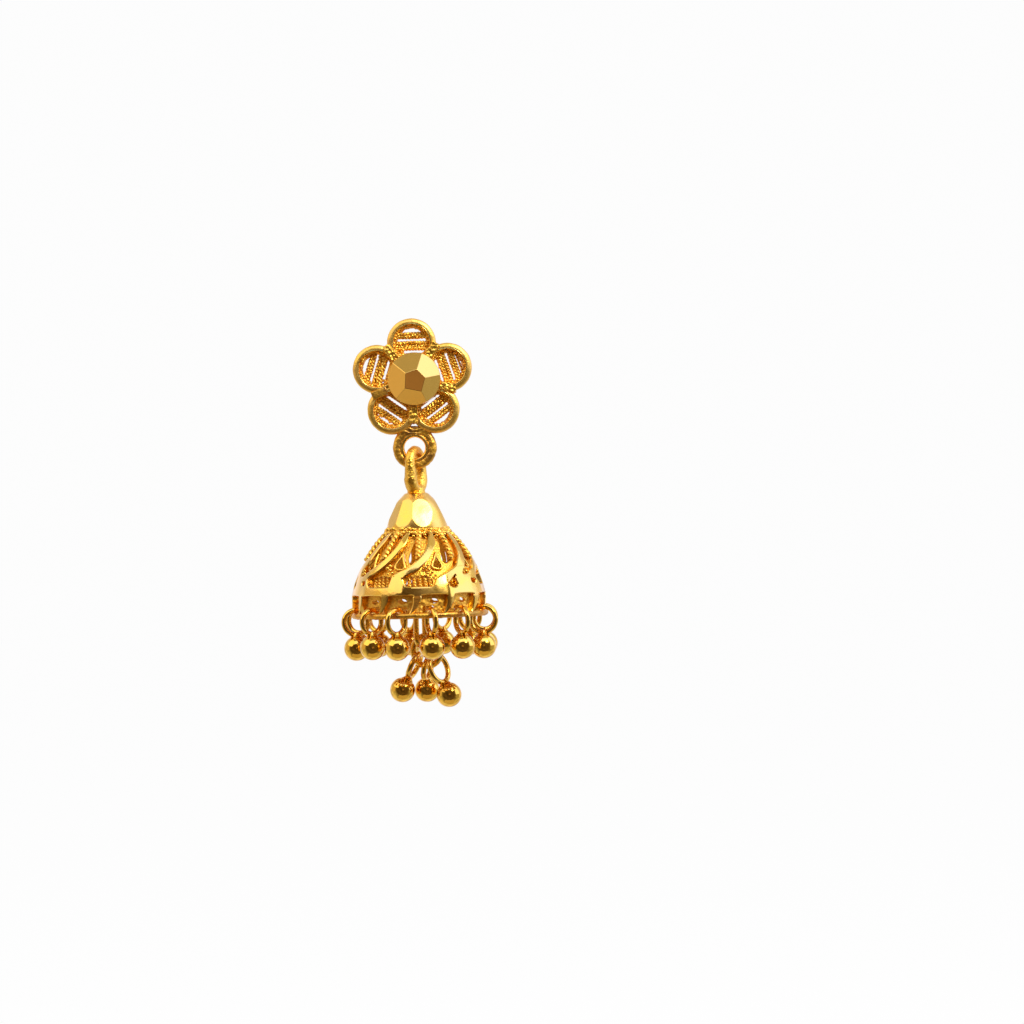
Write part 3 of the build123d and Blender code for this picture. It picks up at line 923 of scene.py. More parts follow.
class JHUMKA_OT_petals(bpy.types.Operator):
    """Five cups with rows of twisted wire across them"""

    bl_idname = "jhumka.petals"
    bl_label = "Petal cups"

    def execute(self, context):
        size = context.scene.jhumka_flower
        inner = size.petal_radius - size.petal_wall
        foot = inner - CUP_FOOT * MM
        for number in range(size.petals):
            turn = 90 + number * ROUND / size.petals
            petal_out = flower_way(turn)
            petal_side = Vector((-petal_out.z, 0, petal_out.x))
            middle = petal_out * size.petal_reach
            self.cup(size, middle, petal_out, petal_side, number)
            self.grains(middle, petal_out, petal_side, inner, number)
            bars = []
            for place, width in PETAL_BARS:
                half = math.sqrt(foot**2 - (place * MM) ** 2) + BAR_SINK * MM
                at = middle + petal_out * (place * MM) + FRONT * (BAR_LIFT * MM)
                bars.append(block(at, (width * MM, BAR_THICKNESS * MM, 2 * half), turn))
            flower_piece(joined(bars, "bars"), f"petal_bars_{number + 1}", "grainy_gold")
            self.ropes(size, middle, petal_out, petal_side, number)
        return {"FINISHED"}

    def cup(self, size, middle, petal_out, petal_side, number):
        """One cup, its rough inside, and the bright wire along its inner edge."""
        outer = size.petal_radius
        inner = outer - size.petal_wall
        foot = inner - CUP_FOOT * MM
        depth = size.depth
        lip = CUP_LIP * MM
        section = [(foot, 0), (outer - lip, 0), (outer, lip)]
        section += [(outer - a * lip, depth - down * lip) for a, down in CUP_RIM]
        section += [(inner - a * lip, depth - down * lip) for a, down in CUP_MOUTH]
        cup = turned(section + [(foot, FOOT_SHARE * depth)], middle, FRONT)
        roughened(cup, depth=0.04, size=0.5)
        shaded(cup, 35)
        flower_piece(cup, f"petal_cup_{number + 1}", "petal_gold")

        face = inner + LINER_FACE * MM
        section = [(face, FOOT_SHARE * depth), (face, depth - LINER_FRONT * lip)]
        for ring in range(LINER_RINGS):
            reach = inner - (LINER_SLOPE[0] + LINER_SLOPE[1] * ring) * MM
            section.append((reach, depth * (LINER_DEPTH[0] - LINER_DEPTH[1] * ring)))
        liner = turned(section, middle, FRONT)
        roughened(liner, depth=0.16, size=0.15)
        shaded(liner, 60)
        flower_piece(liner, f"petal_liner_{number + 1}", "grainy_gold")

        out, behind = EDGE_PLACE
        front = middle + FRONT * (depth - behind * lip)
        route = circle(front, petal_out, petal_side, inner + out * lip, 72)
        edge = wire(route, EDGE_WIRE * MM, closed=True, sides=4)
        shaded(edge, 60)
        # The edge wire's pale gold is a painted highlight on the burnished inner edge
        flower_piece(edge, f"petal_edge_{number + 1}", "edge_gold")

    def grains(self, middle, petal_out, petal_side, inner, number):
        """Specks of solder on the wires and at the ends of the slits between them."""
        chance = random.Random(number)
        ball = grain_ball()
        grains = []
        long_slit = chance.uniform(*LONG_SLIT_ENDS)
        short_slit = chance.uniform(*SHORT_SLIT_ENDS)
        while len(grains) < PETAL_GRAINS:
            along = chance.uniform(-GRAIN_REACH[0], GRAIN_REACH[0])
            side = chance.uniform(-GRAIN_REACH[1], GRAIN_REACH[1])
            if abs(along - LONG_SLIT[0]) < LONG_SLIT[1] and abs(side) < long_slit:
                continue
            if abs(along - SHORT_SLIT[0]) < SHORT_SLIT[1] and SHORT_SLIT_START < side < short_slit:
                continue
            if math.hypot(along, side) > inner / MM - GRAIN_ROOM:
                continue
            if along > LENS_START and abs(side) < PETAL_LENS[number]:
                continue
            place = middle + petal_out * (along * MM) + petal_side * (side * MM)
            place += FRONT * (chance.uniform(*GRAIN_LIFTS) * MM)
            grains.append(placed_grain(ball, place, chance.uniform(*GRAIN_RADII)))
        for step in range(WALL_GRAINS):
            jitter = chance.uniform(-WALL_GRAIN_JITTER, WALL_GRAIN_JITTER)
            turn = math.radians(step * ROUND / WALL_GRAINS + jitter)
            reach = inner - chance.uniform(*WALL_GRAIN_DEPTHS) * MM
            place = middle + (petal_out * math.cos(turn) + petal_side * math.sin(turn)) * reach
            place += FRONT * (chance.uniform(*WALL_GRAIN_LIFTS) * MM)
            grains.append(placed_grain(ball, place, chance.uniform(*WALL_GRAIN_RADII)))
        bpy.data.objects.remove(ball)
        piece = joined(grains, "grains")
        shaded(piece, 60)
        flower_piece(piece, f"petal_grains_{number + 1}", "grainy_gold")

    def ropes(self, size, middle, petal_out, petal_side, number):
        """Twisted wires across one cup, each bowed a little."""
        inner = size.petal_radius - size.petal_wall
        rows = [(place, size.rope_radius) for place in PETAL_ROPES]
        for petal, place in PETAL_EXTRA_ROPES:
            if petal == number:
                rows.append((place, THIN_ROPE * size.rope_radius))
        ropes = []
        for row, (place, radius) in enumerate(rows):
            half = math.sqrt(inner**2 - (place * MM) ** 2) - ROPE_ROOM * MM
            start = middle + petal_out * (place * MM) + FRONT * (ROPE_LIFT * MM)
            bow = ROPE_BOW * MM * (-1) ** row
            route = []
            for step in range(ROPE_SPANS + 1):
                share = 2 * step / ROPE_SPANS - 1
                bowed = petal_out * (bow * (1 - share * share))
                route.append(start + petal_side * (half * share) + bowed)
            route = resampled(route, PETAL_ROPE_STEP * MM)
            ropes += twisted_rope(route, [FRONT] * len(route), radius, ROPE_PITCH * MM)
        rope = joined(ropes, "ropes")
        shaded(rope, 60)
        flower_piece(rope, f"petal_ropes_{number + 1}", "grainy_gold")


class JHUMKA_OT_flower_centre(bpy.types.Operator):
    """Core plate, webs between the petals, and the faceted dome"""

    bl_idname = "jhumka.flower_centre"
    bl_label = "Flower centre"

    def execute(self, context):
        core = turned([(radius * MM, y * MM) for radius, y in CORE], Vector((0, 0, 0)), FRONT)
        shaded(core, 35)
        flower_piece(core, "flower_core", "grainy_gold")
        for number, (turn, reach, smooth) in enumerate(WEBS, start=1):
            self.web(number, turn, reach * MM, smooth)
        self.boss()
        self.dome(context.scene.jhumka_flower)
        return {"FINISHED"}

    def web(self, number, turn, reach, smooth):
        place = flower_way(turn) * reach + FRONT * (WEB_LIFT * MM)
        web = block(place, [side * MM for side in WEB_SIZE], turn)
        modified(web, "BEVEL", width=0.08 * MM, segments=3, limit_method="ANGLE")
        if not smooth:
            roughened(web, depth=0.2, size=0.22, cuts=4)
        shaded(web, 50)
        flower_piece(web, f"flower_web_{number}", "brown_gold" if smooth else "grainy_gold")

    def boss(self):
        """Rough solder between the two lower petals and the lower ring."""
        boss = block([place * MM for place in BOSS_PLACE], [side * MM for side in BOSS_SIZE])
        modified(boss, "BEVEL", width=0.2 * MM, segments=3, limit_method="ANGLE")
        roughened(boss, depth=0.2, size=0.24, cuts=4)
        shaded(boss, 50)
        flower_piece(boss, "ring_boss", "brown_gold")

    def dome(self, size):
        clear_selection()
        middle = FRONT * size.dome_centre + Vector(DOME_SHIFT) * MM
        bpy.ops.mesh.primitive_cylinder_add(
            vertices=128, radius=size.dome_radius - DOME_TRIM * MM, depth=DOME_DEPTH * MM,
            location=middle + FRONT * MM, rotation=(math.pi / 2, 0, 0),
        )
        dome = bpy.context.view_layer.objects.active
        settle(dome)
        for turn, tilt, distance in DOME_FACETS:
            lean = math.radians(tilt)
            normal = flower_way(turn) * math.sin(lean) + FRONT * math.cos(lean)
            sliced(dome, middle + normal * (distance * MM), normal)
        clean(dome)
        edges = math.radians(12)
        modified(dome, "BEVEL", width=0.05 * MM, segments=2, limit_method="ANGLE", angle_limit=edges)
        shaded(dome, 6)
        flower_piece(dome, "dome", "facet_gold")


class JHUMKA_OT_lower_ring(bpy.types.Operator):
    """The flower's lower ring, which carries the bell"""

    bl_idname = "jhumka.lower_ring"
    bl_label = "Lower ring"

    def execute(self, context):
        size = context.scene.jhumka_flower
        ring = self.ring(size, RING_FACE, 160)
        roughened(ring, depth=0.09, size=0.28)
        shaded(ring, 70)
        flower_piece(ring, "lower_ring", "brown_gold")
        lip = self.ring(size, RING_LIP, 128)
        roughened(lip, depth=0.03, size=0.4)
        shaded(lip, 50)
        flower_piece(lip, "lower_ring_lip", "satin_gold")
        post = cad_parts["ear_post"]
        post.data.materials.clear()
        post.data.materials.append(gold("wire_gold"))
        return {"FINISHED"}

    def ring(self, size, face, steps):
        """A ring with the same outline in front and behind."""
        half = size.ring_thickness / 2
        width = size.ring_outer - size.ring_hole
        section = [(size.ring_hole + width * share, half * height) for share, height in face]
        section += [(radius, -height) for radius, height in reversed(section)]
        return turned(section, Vector((0, HANG_Y, size.ring_z)), FRONT, steps=steps)


# ---------------------------------------------------------------- bell


class JHUMKA_OT_bell_top(bpy.types.Operator):
    """Loop, faceted cap and the rough collar under it"""

    bl_idname = "jhumka.bell_top"
    bl_label = "Loop and cap"

    def execute(self, context):
        self.loop(context.scene.jhumka_bell, context.scene.jhumka_flower)
        self.cap()
        self.collar()
        return {"FINISHED"}

    def loop(self, bell, flower):
        reach = bell.loop_eye + bell.loop_wire
        side = across(LOOP_TURN + 90)
        top_z = flower.ring_z - (flower.ring_outer + flower.ring_hole) / 2
        route = arc(on_axis(top_z), side, UP, reach, 0, 180, 24)
        route += arc(on_axis(bell.loop_bottom), side, UP, reach, 180, ROUND, 24)
        swell = []
        for point in route:
            drop = top_z - LOOP_SWELL_START * MM - point.z
            swell.append(1 + LOOP_SWELL * min(max(drop / MM, 0), 1))
        loop = wire(route, bell.loop_wire, closed=True, sides=6, swell=swell)
        back = side.cross(UP)
        for way, lean, drop in LOOP_PATCHES:
            normal = (back * -PATCH_FRONT + side * (way * PATCH_SIDE) + UP * lean).normalized()
            base = on_axis(top_z + drop * MM) + side * (way * reach)
            pressed_flat(loop, base, normal, bell.loop_wire * PATCH_DEPTH, PATCH_REACH * MM)
        section = [(radius * MM, z * MM) for radius, z in NECK]
        neck = turned(section, on_axis(NECK_Z * MM), UP, steps=48)
        loop = joined([loop, neck], "bell_loop")
        roughened(loop, depth=0.05, size=0.45)
        shaded(loop, 40)
        bell_piece(loop, "bell_loop", "grainy_gold")

    def cap(self):
        outline = smooth_line(CAP_OUTLINE, 5) + CAP_HOLLOW
        section = [(max(radius, CAP_TIP) * MM, z * MM) for z, radius in outline]
        cap = turned(section, Vector((0, HANG_Y, 0)), UP, steps=144)
        tilt = math.radians(CAP_FACET_TILT)
        for turn in CAP_FACETS:
            normal = (outward(turn) * math.cos(tilt) + UP * math.sin(tilt)).normalized()
            sliced(cap, on_axis(CAP_FACET_Z * MM) + outward(turn) * (CAP_FACET_REACH * MM), normal)
        clean(cap)
        edges = math.radians(14)
        modified(cap, "BEVEL", width=0.035 * MM, segments=2, limit_method="ANGLE", angle_limit=edges)
        shaded(cap, 8)
        bell_piece(cap, "bell_cap", "satin_gold")

    def collar(self):
        ropes = []
        for z, radius, first in COLLAR_ROPES:
            turns = [step * ROUND / COLLAR_SPANS + first for step in range(COLLAR_SPANS + 1)]
            normals = [outward(turn) for turn in turns]
            route = [on_axis(z * MM) + normal * (radius * MM) for normal in normals]
            ropes += twisted_rope(route, normals, SMALL_ROPE * MM, ROPE_PITCH * MM)
        chance = random.Random(COLLAR_SEED)
        ball = grain_ball()
        for number in range(COLLAR_GRAINS):
            jitter = chance.uniform(-COLLAR_GRAIN_JITTER, COLLAR_GRAIN_JITTER)
            turn = number * ROUND / COLLAR_GRAINS + jitter
            reach = chance.uniform(*COLLAR_GRAIN_REACHES) * MM
            place = on_axis(chance.uniform(*COLLAR_GRAIN_HEIGHTS) * MM) + outward(turn) * reach
            ropes.append(placed_grain(ball, place, chance.uniform(*COLLAR_GRAIN_RADII)))
        bpy.data.objects.remove(ball)
        collar = joined(ropes, "collar")
        roughened(collar, depth=0.08, size=0.25)
        shaded(collar, 60)
        bell_piece(collar, "collar", "grainy_gold")


class JHUMKA_OT_bell_openwork(bpy.types.Operator):
    """Polished ribs, plates, band and claws in one pierced piece, with the lining and the rim wire"""

    bl_idname = "jhumka.bell_openwork"
    bl_label = "Bell openwork"

    def execute(self, context):
        bell = context.scene.jhumka_bell
        eyes = []
        for eye in range(DROPS):
            outline = shifted(EYE, (eye + 0.5) * ROUND / DROPS)
            eyes.append(smooth_line(outline, 6, closed=True))
        lining = pierced_wall(
            eyes + self.notches(), LINING_TOP, LINING_BOTTOM, 0, LINING_WALL, OPENWORK_STEP, lining=True
        )
        roughened(lining, depth=0.05, size=0.3)
        shaded(lining, 40)
        bell_piece(lining, "claw_lining", "lining_gold")
        outlines = self.rib_openings(bell) + self.claw_openings()
        shell = pierced_wall(
            [smooth_line(outline, 4, closed=True) for outline in outlines],
            BELL_TOP, OPENWORK_BOTTOM, SKIN, OPENWORK_BACK, OPENWORK_STEP,
            chamfer=OPENWORK_CHAMFER, faceted=True,
        )
        shaded(shell, 28)
        bell_piece(shell, "bell_openwork", "polished_gold")
        route = [on_axis(bell.rim_z) + outward(step * 3) * bell.rim_radius for step in range(120)]
        rim = wire(route, bell.rim_wire, closed=True, sides=4)
        shaded(rim, 60)
        # The rim wire takes the brown gold as painted shade, as dark as the shadows round the rings
        bell_piece(rim, "rim_wire", "brown_gold")
        return {"FINISHED"}

    def rib_openings(self, bell):
        """Gaps between the ribs, and the holes in their feet."""
        span = ROUND / bell.cells
        openings = []
        for cell in range(bell.cells):
            turn = FIRST_CELL + cell * ROUND / bell.cells
            wide = cell in WIDE_CELLS
            left = WIDE_LEFT if (cell + 1) % bell.cells in WIDE_CELLS else RIB_LEFT
            if wide:
                left = left[:-PLATE_ROWS]
            outline = shifted(WIDE_RIGHT if wide else RIB_RIGHT, turn)
            openings.append(outline + shifted(reversed(left), turn + span))
            if cell:
                openings.append(shifted(PLATE_HOLE if wide else NARROW_HOLE, turn))
        return openings

    def claw_openings(self):
        """Gaps between the claws, open below."""
        span = ROUND / DROPS
        openings = []
        for claw in range(DROPS):
            turn = claw * ROUND / DROPS
            outline = shifted(CLAW_RIGHT + CLAW_GAP_FOOT, turn)
            openings.append(outline + shifted(reversed(CLAW_LEFT), turn + span))
        return openings

    def notches(self):
        """Notches in the foot of the lining, which the rings of the rim drops pass through."""
        notches = []
        reach = LINING_RADIUS + LINING_WALL / 2
        half = math.degrees(NOTCH_WIDTH / 2 / reach)
        for number, (shift, yaw, _) in enumerate(RIM_DROPS):
            aside = math.degrees(math.atan((RIM_RADIUS - reach) * math.tan(math.radians(yaw)) / reach))
            turn = (number + 0.5) * ROUND / DROPS + shift - aside
            outline = [
                (-half, NOTCH_FOOT), (-half, NOTCH_SHOULDER), (-half * NOTCH_TAPER, NOTCH_TOP),
                (half * NOTCH_TAPER, NOTCH_TOP), (half, NOTCH_SHOULDER), (half, NOTCH_FOOT),
            ]
            notches.append(shifted(outline, turn))
        return notches


class JHUMKA_OT_bell_lattice(bpy.types.Operator):
    """Grainy layer behind the ribs, with its windows, frames, twisted wires and grains"""

    bl_idname = "jhumka.bell_lattice"
    bl_label = "Bell lattice"

    def execute(self, context):
        bell = context.scene.jhumka_bell
        turns = [FIRST_CELL + cell * ROUND / bell.cells for cell in range(bell.cells)]
        windows = []
        for turn in turns:
            for window in (LEAF_WINDOW, SIDE_WINDOW, LOW_WINDOW):
                windows.append(smooth_line(shifted(window, turn), 4, closed=True))
        shell = pierced_wall(
            windows, BELL_TOP, LATTICE_BOTTOM, LATTICE_FRONT, LATTICE_BACK, LATTICE_STEP
        )
        roughened(shell, depth=0.05, size=0.2)
        shaded(shell, 40)
        bell_piece(shell, "bell_lattice", "deep_gold")
        self.frames(turns)
        self.ropes(turns)
        self.grains(turns)
        return {"FINISHED"}

    def frames(self, turns):
        """Wires round the side windows."""
        frames = []
        for turn in turns:
            outline = grown(smooth_line(shifted(SIDE_WINDOW, turn), 4, closed=True), FRAME_ROOM)
            route = [wall_point(a, z * MM, FRAME_DEPTH * MM) for a, z in outline]
            frames.append(wire(route, FRAME_WIRE * MM, closed=True, sides=2))
        piece = joined(frames, "window_frames")
        roughened(piece, depth=0.05, size=0.2)
        shaded(piece, 60)
        bell_piece(piece, "window_frames", "wire_gold")

    def ropes(self, turns):
        """A twisted wire down each leaf, and the short strands under it."""
        leaves = []
        strands = []
        for turn in turns:
            rows = smooth_line(shifted(LEAF_ROPE, turn), 10)
            route = [wall_point(a, z * MM, LEAF_ROPE_DEPTH * MM) for a, z in rows]
            route = resampled(route, BELL_ROPE_STEP * MM)
            normals = [(point - on_axis(point.z)).normalized() for point in route]
            leaves += twisted_rope(route, normals, LEAF_ROPE_RADIUS * MM, LEAF_ROPE_PITCH * MM)
            for a, z in LOW_STRANDS:
                foot = wall_point(turn + a, z * MM, STRAND_DEPTH * MM)
                head = wall_point(turn + a - STRAND_LEAN, (z + STRAND_RISE) * MM, STRAND_DEPTH * MM)
                route = resampled([foot, head], BELL_ROPE_STEP * MM)
                normals = [outward(turn + a)] * len(route)
                strands += twisted_rope(route, normals, SMALL_ROPE * MM, ROPE_PITCH * MM)
        for pieces, name in ((leaves, "leaf_ropes"), (strands, "low_strands")):
            rope = joined(pieces, name)
            shaded(rope, 60)
            bell_piece(rope, name, "grainy_gold")

    def grains(self, turns):
        """Grains of solder round the leaves."""
        ball = grain_ball()
        grains = []
        for turn in turns:
            for a, z, radius in GRAINS:
                place = wall_point(turn + a, z * MM, SOLDER_DEPTH * MM)
                grains.append(placed_grain(ball, place, radius))
        bpy.data.objects.remove(ball)
        piece = joined(grains, "bell_grains")
        shaded(piece, 60)
        bell_piece(piece, "bell_grains", "wire_gold")


class JHUMKA_OT_hairpin(bpy.types.Operator):
    """Wire hairpin inside the bell, and the ring in its eye"""

    bl_idname = "jhumka.hairpin"
    bl_label = "Hairpin and centre ring"

    def execute(self, context):
        drops = context.scene.jhumka_drops
        side = across(HAIRPIN_TURN)
        half = drops.hairpin_half_gap
        route = [on_axis(drops.hairpin_top) - side * half]
        route += arc(on_axis(drops.hairpin_bottom + half), side, UP, half, 180, ROUND, 24)
        route.append(on_axis(drops.hairpin_top) + side * half)
        hairpin = wire(route, drops.hairpin_wire, sides=4)
        shaded(hairpin, 60)
        bell_piece(hairpin, "hairpin", "wire_gold")
        middle, ring_side = centre_ring_place(drops)
        route = circle(middle, ring_side, UP, drops.centre_ring, 72)
        ring = wire(route, drops.centre_wire, closed=True, sides=4)
        shaded(ring, 60)
        finished(ring, "centre_ring_finished", "drop", "wire_gold", ["centre_ring"])
        return {"FINISHED"}


def centre_ring_place(drops):
    """Middle of the centre ring and the horizontal direction along it."""
    fall = math.sqrt(drops.centre_ring**2 - CENTRE_SHIFT**2)
    hold = (drops.hairpin_wire + drops.gap + EYE_ROOM + drops.centre_wire) * drops.centre_ring / fall
    side = across(CENTRE_TURN)
    return on_axis(drops.hairpin_bottom + hold - fall) + side * CENTRE_SHIFT, side


# ---------------------------------------------------------------- ball drops


def ball_drop(name, hook, down, ring_axis, held_wire, ring_radius, wire_radius, node_name):
    """Ring with a ball soldered under it, hung on a wire whose middle is the hook."""
    drops = bpy.context.scene.jhumka_drops
    ring_axis = (ring_axis - down * ring_axis.dot(down)).normalized()
    side = ring_axis.cross(down).normalized()
    middle = hook + down * (ring_radius - wire_radius - held_wire - drops.gap)
    ball = middle + down * (ring_radius + wire_radius + drops.ball_radius - drops.ball_sink)
    ring = wire(circle(middle, side, down, ring_radius, 64), wire_radius, closed=True, sides=4)
    clear_selection()
    bpy.ops.mesh.primitive_uv_sphere_add(
        segments=64, ring_count=32, radius=drops.ball_radius, location=ball
    )
    sphere = bpy.context.view_layer.objects.active
    sphere.rotation_euler = down.to_track_quat("-Z", "Y").to_euler()
    settle(sphere)
    section = [(radius * MM, rise * MM) for radius, rise in BALL_NECK]
    neck = turned(section, ball - down * (drops.ball_radius * NECK_SHARE), -down, steps=24)
    piece = joined([sphere, ring, neck], name)
    shaded(piece, 40)
    finished(piece, name, "drop", "mirror_gold", [node_name])


class JHUMKA_OT_rim_drops(bpy.types.Operator):
    """Ball drops on the rim wire"""

    bl_idname = "jhumka.rim_drops"
    bl_label = "Rim drops"

    def execute(self, context):
        drops = context.scene.jhumka_drops
        bell = context.scene.jhumka_bell
        for number, (shift, yaw, ring) in enumerate(RIM_DROPS, start=1):
            turn = (number - 0.5) * ROUND / DROPS + shift
            hook = on_axis(bell.rim_z) + outward(turn) * bell.rim_radius
            ball_drop(
                f"rim_ball_{number:02d}", hook, -UP, across(turn + yaw), bell.rim_wire,
                ring * MM, drops.wire_radius, f"rim_drop_{number:02d}",
            )
        return {"FINISHED"}


class JHUMKA_OT_centre_drops(bpy.types.Operator):
    """Ball drops on the centre ring"""

    bl_idname = "jhumka.centre_drops"
    bl_label = "Centre drops"

    def execute(self, context):
        drops = context.scene.jhumka_drops
        middle, side = centre_ring_place(drops)
        for number, (place, turn, ring_radius, ball) in enumerate(CLUSTER, start=1):
            angle = math.radians(place)
            way = side * math.sin(angle) - UP * math.cos(angle)
            hook = middle + way * drops.centre_ring
            target = Vector(ball) * MM + on_axis(0)
            ball_drop(
                f"centre_ball_{number}", hook, (target - hook).normalized(), outward(turn),
                drops.centre_wire + CLUSTER_ROOM, ring_radius * MM, drops.cluster_wire,
                f"centre_drop_{number}",
            )
        return {"FINISHED"}


# ---------------------------------------------------------------- stage


class JHUMKA_OT_stage(bpy.types.Operator):
    """Pale floor, soft lights, dark cards out of sight, and the camera"""

    bl_idname = "jhumka.stage"
    bl_label = "Stage"

    def execute(self, context):
        stage = context.scene.jhumka_stage
        context.scene.view_settings.view_transform = "Standard"
        self.world(context)
        self.floor(stage)
        aim = on_axis(AIM_Z)
        self.tent(aim)
        for name, turn, rise, width, height, shade in CARDS:
            self.card(name, turn, rise, aim, (width, height), shade)
        place, size, power = KEY_LIGHT
        self.light("key", aim + Vector(place), aim, size, power)
        self.camera(context, stage)
        return {"FINISHED"}

    def world(self, context):
        world = bpy.data.worlds.new("studio")
        world.use_nodes = True
        background = world.node_tree.nodes["Background"]
        background.inputs["Color"].default_value = (WORLD_TONE, WORLD_TONE, WORLD_TONE, 1)
        background.inputs["Strength"].default_value = 1.0
        context.scene.world = world

    def floor(self, stage):
        clear_selection()
        bpy.ops.mesh.primitive_circle_add(
            vertices=96, radius=FLOOR_RADIUS, fill_type="NGON", location=(0, 0, stage.floor_z)
        )
        floor = bpy.context.view_layer.objects.active
        floor.name = "floor"
        material = bpy.data.materials.new("pale_floor")
        material.use_nodes = True
        shader = material.node_tree.nodes["Principled BSDF"]
        shader.inputs["Base Color"].default_value = (0.5, 0.5, 0.5, 1)
        shader.inputs["Roughness"].default_value = 0.9
        shader.inputs["Specular IOR Level"].default_value = 0.0
        shader.inputs["Emission Color"].default_value = (1, 1, 1, 1)
        shader.inputs["Emission Strength"].default_value = FLOOR_GLOW
        floor.data.materials.append(material)

    def tent(self, aim):
        """A tent of soft grey light all round, unseen by the camera."""
        clear_selection()
        bpy.ops.mesh.primitive_uv_sphere_add(segments=64, ring_count=32, radius=TENT_RADIUS, location=aim)
        tent = bpy.context.view_layer.objects.active
        tent.name = "tent"
        shader = self.black(tent)
        tree = tent.data.materials[0].node_tree
        place = node(tree, "ShaderNodeTexCoord", (-1300, 0))
        folds = node(tree, "ShaderNodeTexNoise", (-1100, -200), {"Scale": 14, "Detail": 1})
        tree.links.new(place.outputs["Object"], folds.inputs["Vector"])
        depth = node(tree, "ShaderNodeSeparateXYZ", (-1100, 100))
        tree.links.new(place.outputs["Object"], depth.inputs["Vector"])
        limits = {"From Min": -TENT_RADIUS, "From Max": TENT_RADIUS}
        share = node(tree, "ShaderNodeMapRange", (-900, 100), limits)
        tree.links.new(depth.outputs["Y"], share.inputs["Value"])
        tone = node(tree, "ShaderNodeValToRGB", (-700, 100))
        set_ramp(tone.color_ramp, TENT_TONES)
        tree.links.new(share.outputs["Result"], tone.inputs["Fac"])
        limits = {"From Min": 0.35, "From Max": 0.65, "To Min": 0.7, "To Max": 1.3}
        mottle = node(tree, "ShaderNodeMapRange", (-900, -200), limits)
        tree.links.new(folds.outputs["Fac"], mottle.inputs["Value"])
        tree.links.new(tone.outputs["Color"], shader.inputs["Emission Color"])
        tree.links.new(mottle.outputs["Result"], shader.inputs["Emission Strength"])
        self.unseen(tent)

    def black(self, card):
        """Gives a card a black material, which glows once its emission is set."""
        material = bpy.data.materials.new(card.name)
        material.use_nodes = True
        shader = material.node_tree.nodes["Principled BSDF"]
        shader.inputs["Base Color"].default_value = (0, 0, 0, 1)
        shader.inputs["Specular IOR Level"].default_value = 0.0
        card.data.materials.append(material)
        return shader

    def unseen(self, card):
        """Leaves a card to be seen only in the metal."""
        card.visible_camera = False
        card.visible_diffuse = False
        card.visible_shadow = False

    def card(self, name, turn, rise, aim, span, shade):
        """A flat light, placed by its turn from the front, its rise, and the angles that it spans."""
        level = math.cos(math.radians(rise))
        place = aim + (outward(turn) * level + UP * math.sin(math.radians(rise))) * CARD_DISTANCE
        clear_selection()
        bpy.ops.mesh.primitive_plane_add(size=1, location=place)
        card = bpy.context.view_layer.objects.active
        card.name = name
        card.scale = (*[2 * CARD_DISTANCE * math.tan(math.radians(angle / 2)) for angle in span], 1)
        card.rotation_euler = (place - aim).to_track_quat("Z", "Y").to_euler()
        shader = self.black(card)
        shader.inputs["Emission Color"].default_value = (*shade, 1)
        shader.inputs["Emission Strength"].default_value = 1.0
        self.unseen(card)

    def light(self, name, place, aim, size, power):
        clear_selection()
        bpy.ops.object.light_add(type="AREA", location=place)
        lamp = bpy.context.view_layer.objects.active
        lamp.name = name
        lamp.data.shape = "DISK"
        lamp.data.size = size
        lamp.data.energy = power
        lamp.rotation_euler = (place - aim).to_track_quat("Z", "Y").to_euler()

    def camera(self, context, stage):
        roll = stage.roll
        right = Vector((math.cos(roll), 0, -math.sin(roll)))
        up = Vector((math.sin(roll), 0, math.cos(roll)))
        place = Vector((stage.view_x, HANG_Y - stage.view_distance, stage.view_z))
        clear_selection()
        bpy.ops.object.camera_add()
        camera = bpy.context.view_layer.objects.active
        turn = Matrix((right, up, FRONT)).transposed().to_4x4()
        camera.matrix_world = Matrix.Translation(place) @ turn
        camera.data.sensor_width = SENSOR
        camera.data.lens = SENSOR * stage.view_distance / stage.view_width
        camera.data.clip_start, camera.data.clip_end = CLIP
        context.scene.camera = camera


PIECES = [
    JHUMKA_OT_petals,
    JHUMKA_OT_flower_centre,
    JHUMKA_OT_lower_ring,
    JHUMKA_OT_bell_top,
    JHUMKA_OT_bell_openwork,
    JHUMKA_OT_bell_lattice,
    JHUMKA_OT_hairpin,
    JHUMKA_OT_rim_drops,
    JHUMKA_OT_centre_drops,
    JHUMKA_OT_stage,
]


class JHUMKA_PT_panel(bpy.types.Panel):
    """Lists the earring's sizes and its operators"""

    bl_idname = "JHUMKA_PT_panel"
    bl_label = "Jhumka earring"
    bl_space_type = "VIEW_3D"
    bl_region_type = "UI"
    bl_category = "Jhumka"

    def draw(self, context):
        for group_name, group in GROUPS.items():
            box = self.layout.box()
            for prop in group.__annotations__:
                box.prop(getattr(context.scene, group_name), prop)
        for operator in PIECES:
            self.layout.operator(operator.bl_idname)


def register():
    for group_name, group in GROUPS.items():
        bpy.utils.register_class(group)
        setattr(bpy.types.Scene, group_name, bpy.props.PointerProperty(type=group))
    for operator in PIECES:
        bpy.utils.register_class(operator)
    bpy.utils.register_class(JHUMKA_PT_panel)


def unregister():
    bpy.utils.unregister_class(JHUMKA_PT_panel)
    for operator in reversed(PIECES):
        bpy.utils.unregister_class(operator)
    for group_name, group in GROUPS.items():
        delattr(bpy.types.Scene, group_name)
        bpy.utils.unregister_class(group)


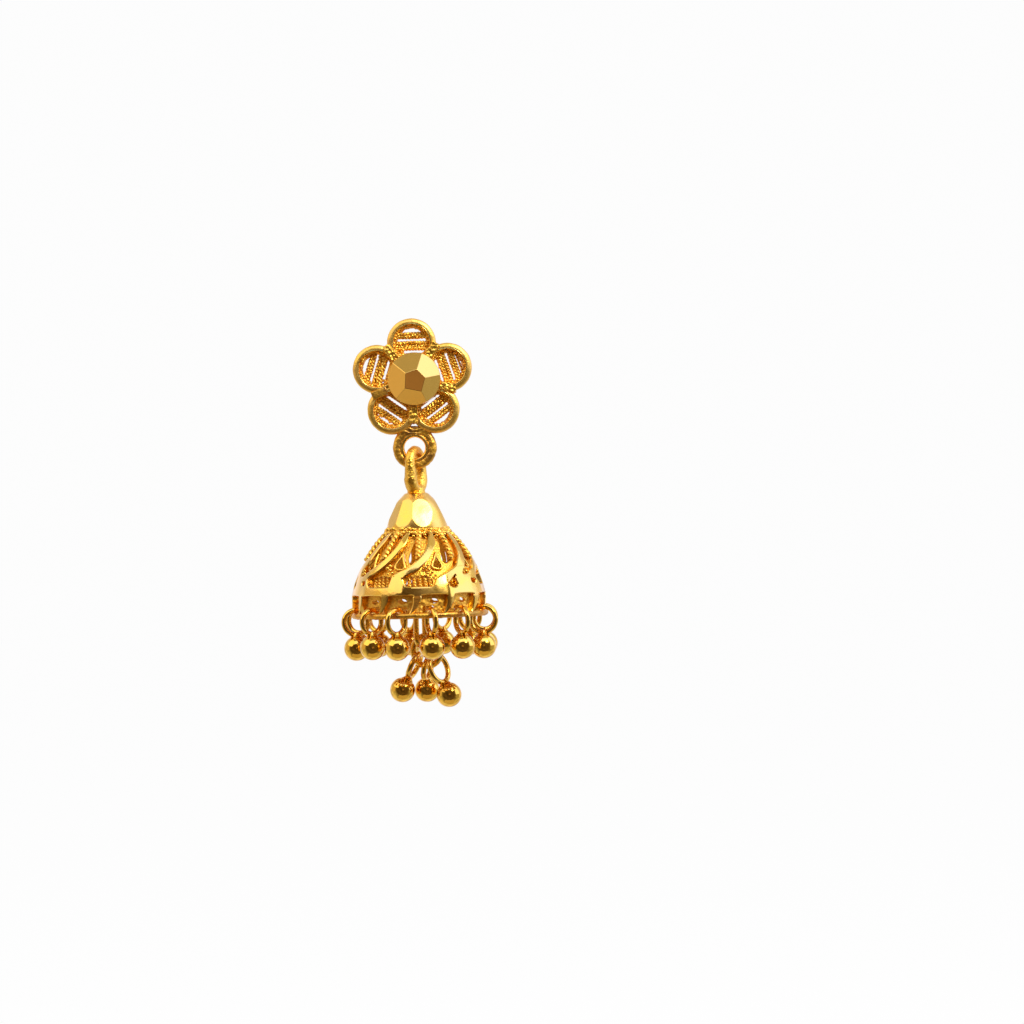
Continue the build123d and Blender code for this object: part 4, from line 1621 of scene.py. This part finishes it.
def main():
    register()
    bpy.ops.jhumka.petals()
    bpy.ops.jhumka.flower_centre()
    bpy.ops.jhumka.lower_ring()
    bpy.ops.jhumka.bell_top()
    bpy.ops.jhumka.bell_openwork()
    bpy.ops.jhumka.bell_lattice()
    bpy.ops.jhumka.hairpin()
    bpy.ops.jhumka.rim_drops()
    bpy.ops.jhumka.centre_drops()
    bpy.ops.jhumka.stage()


if __name__ == "__main__":
    main()
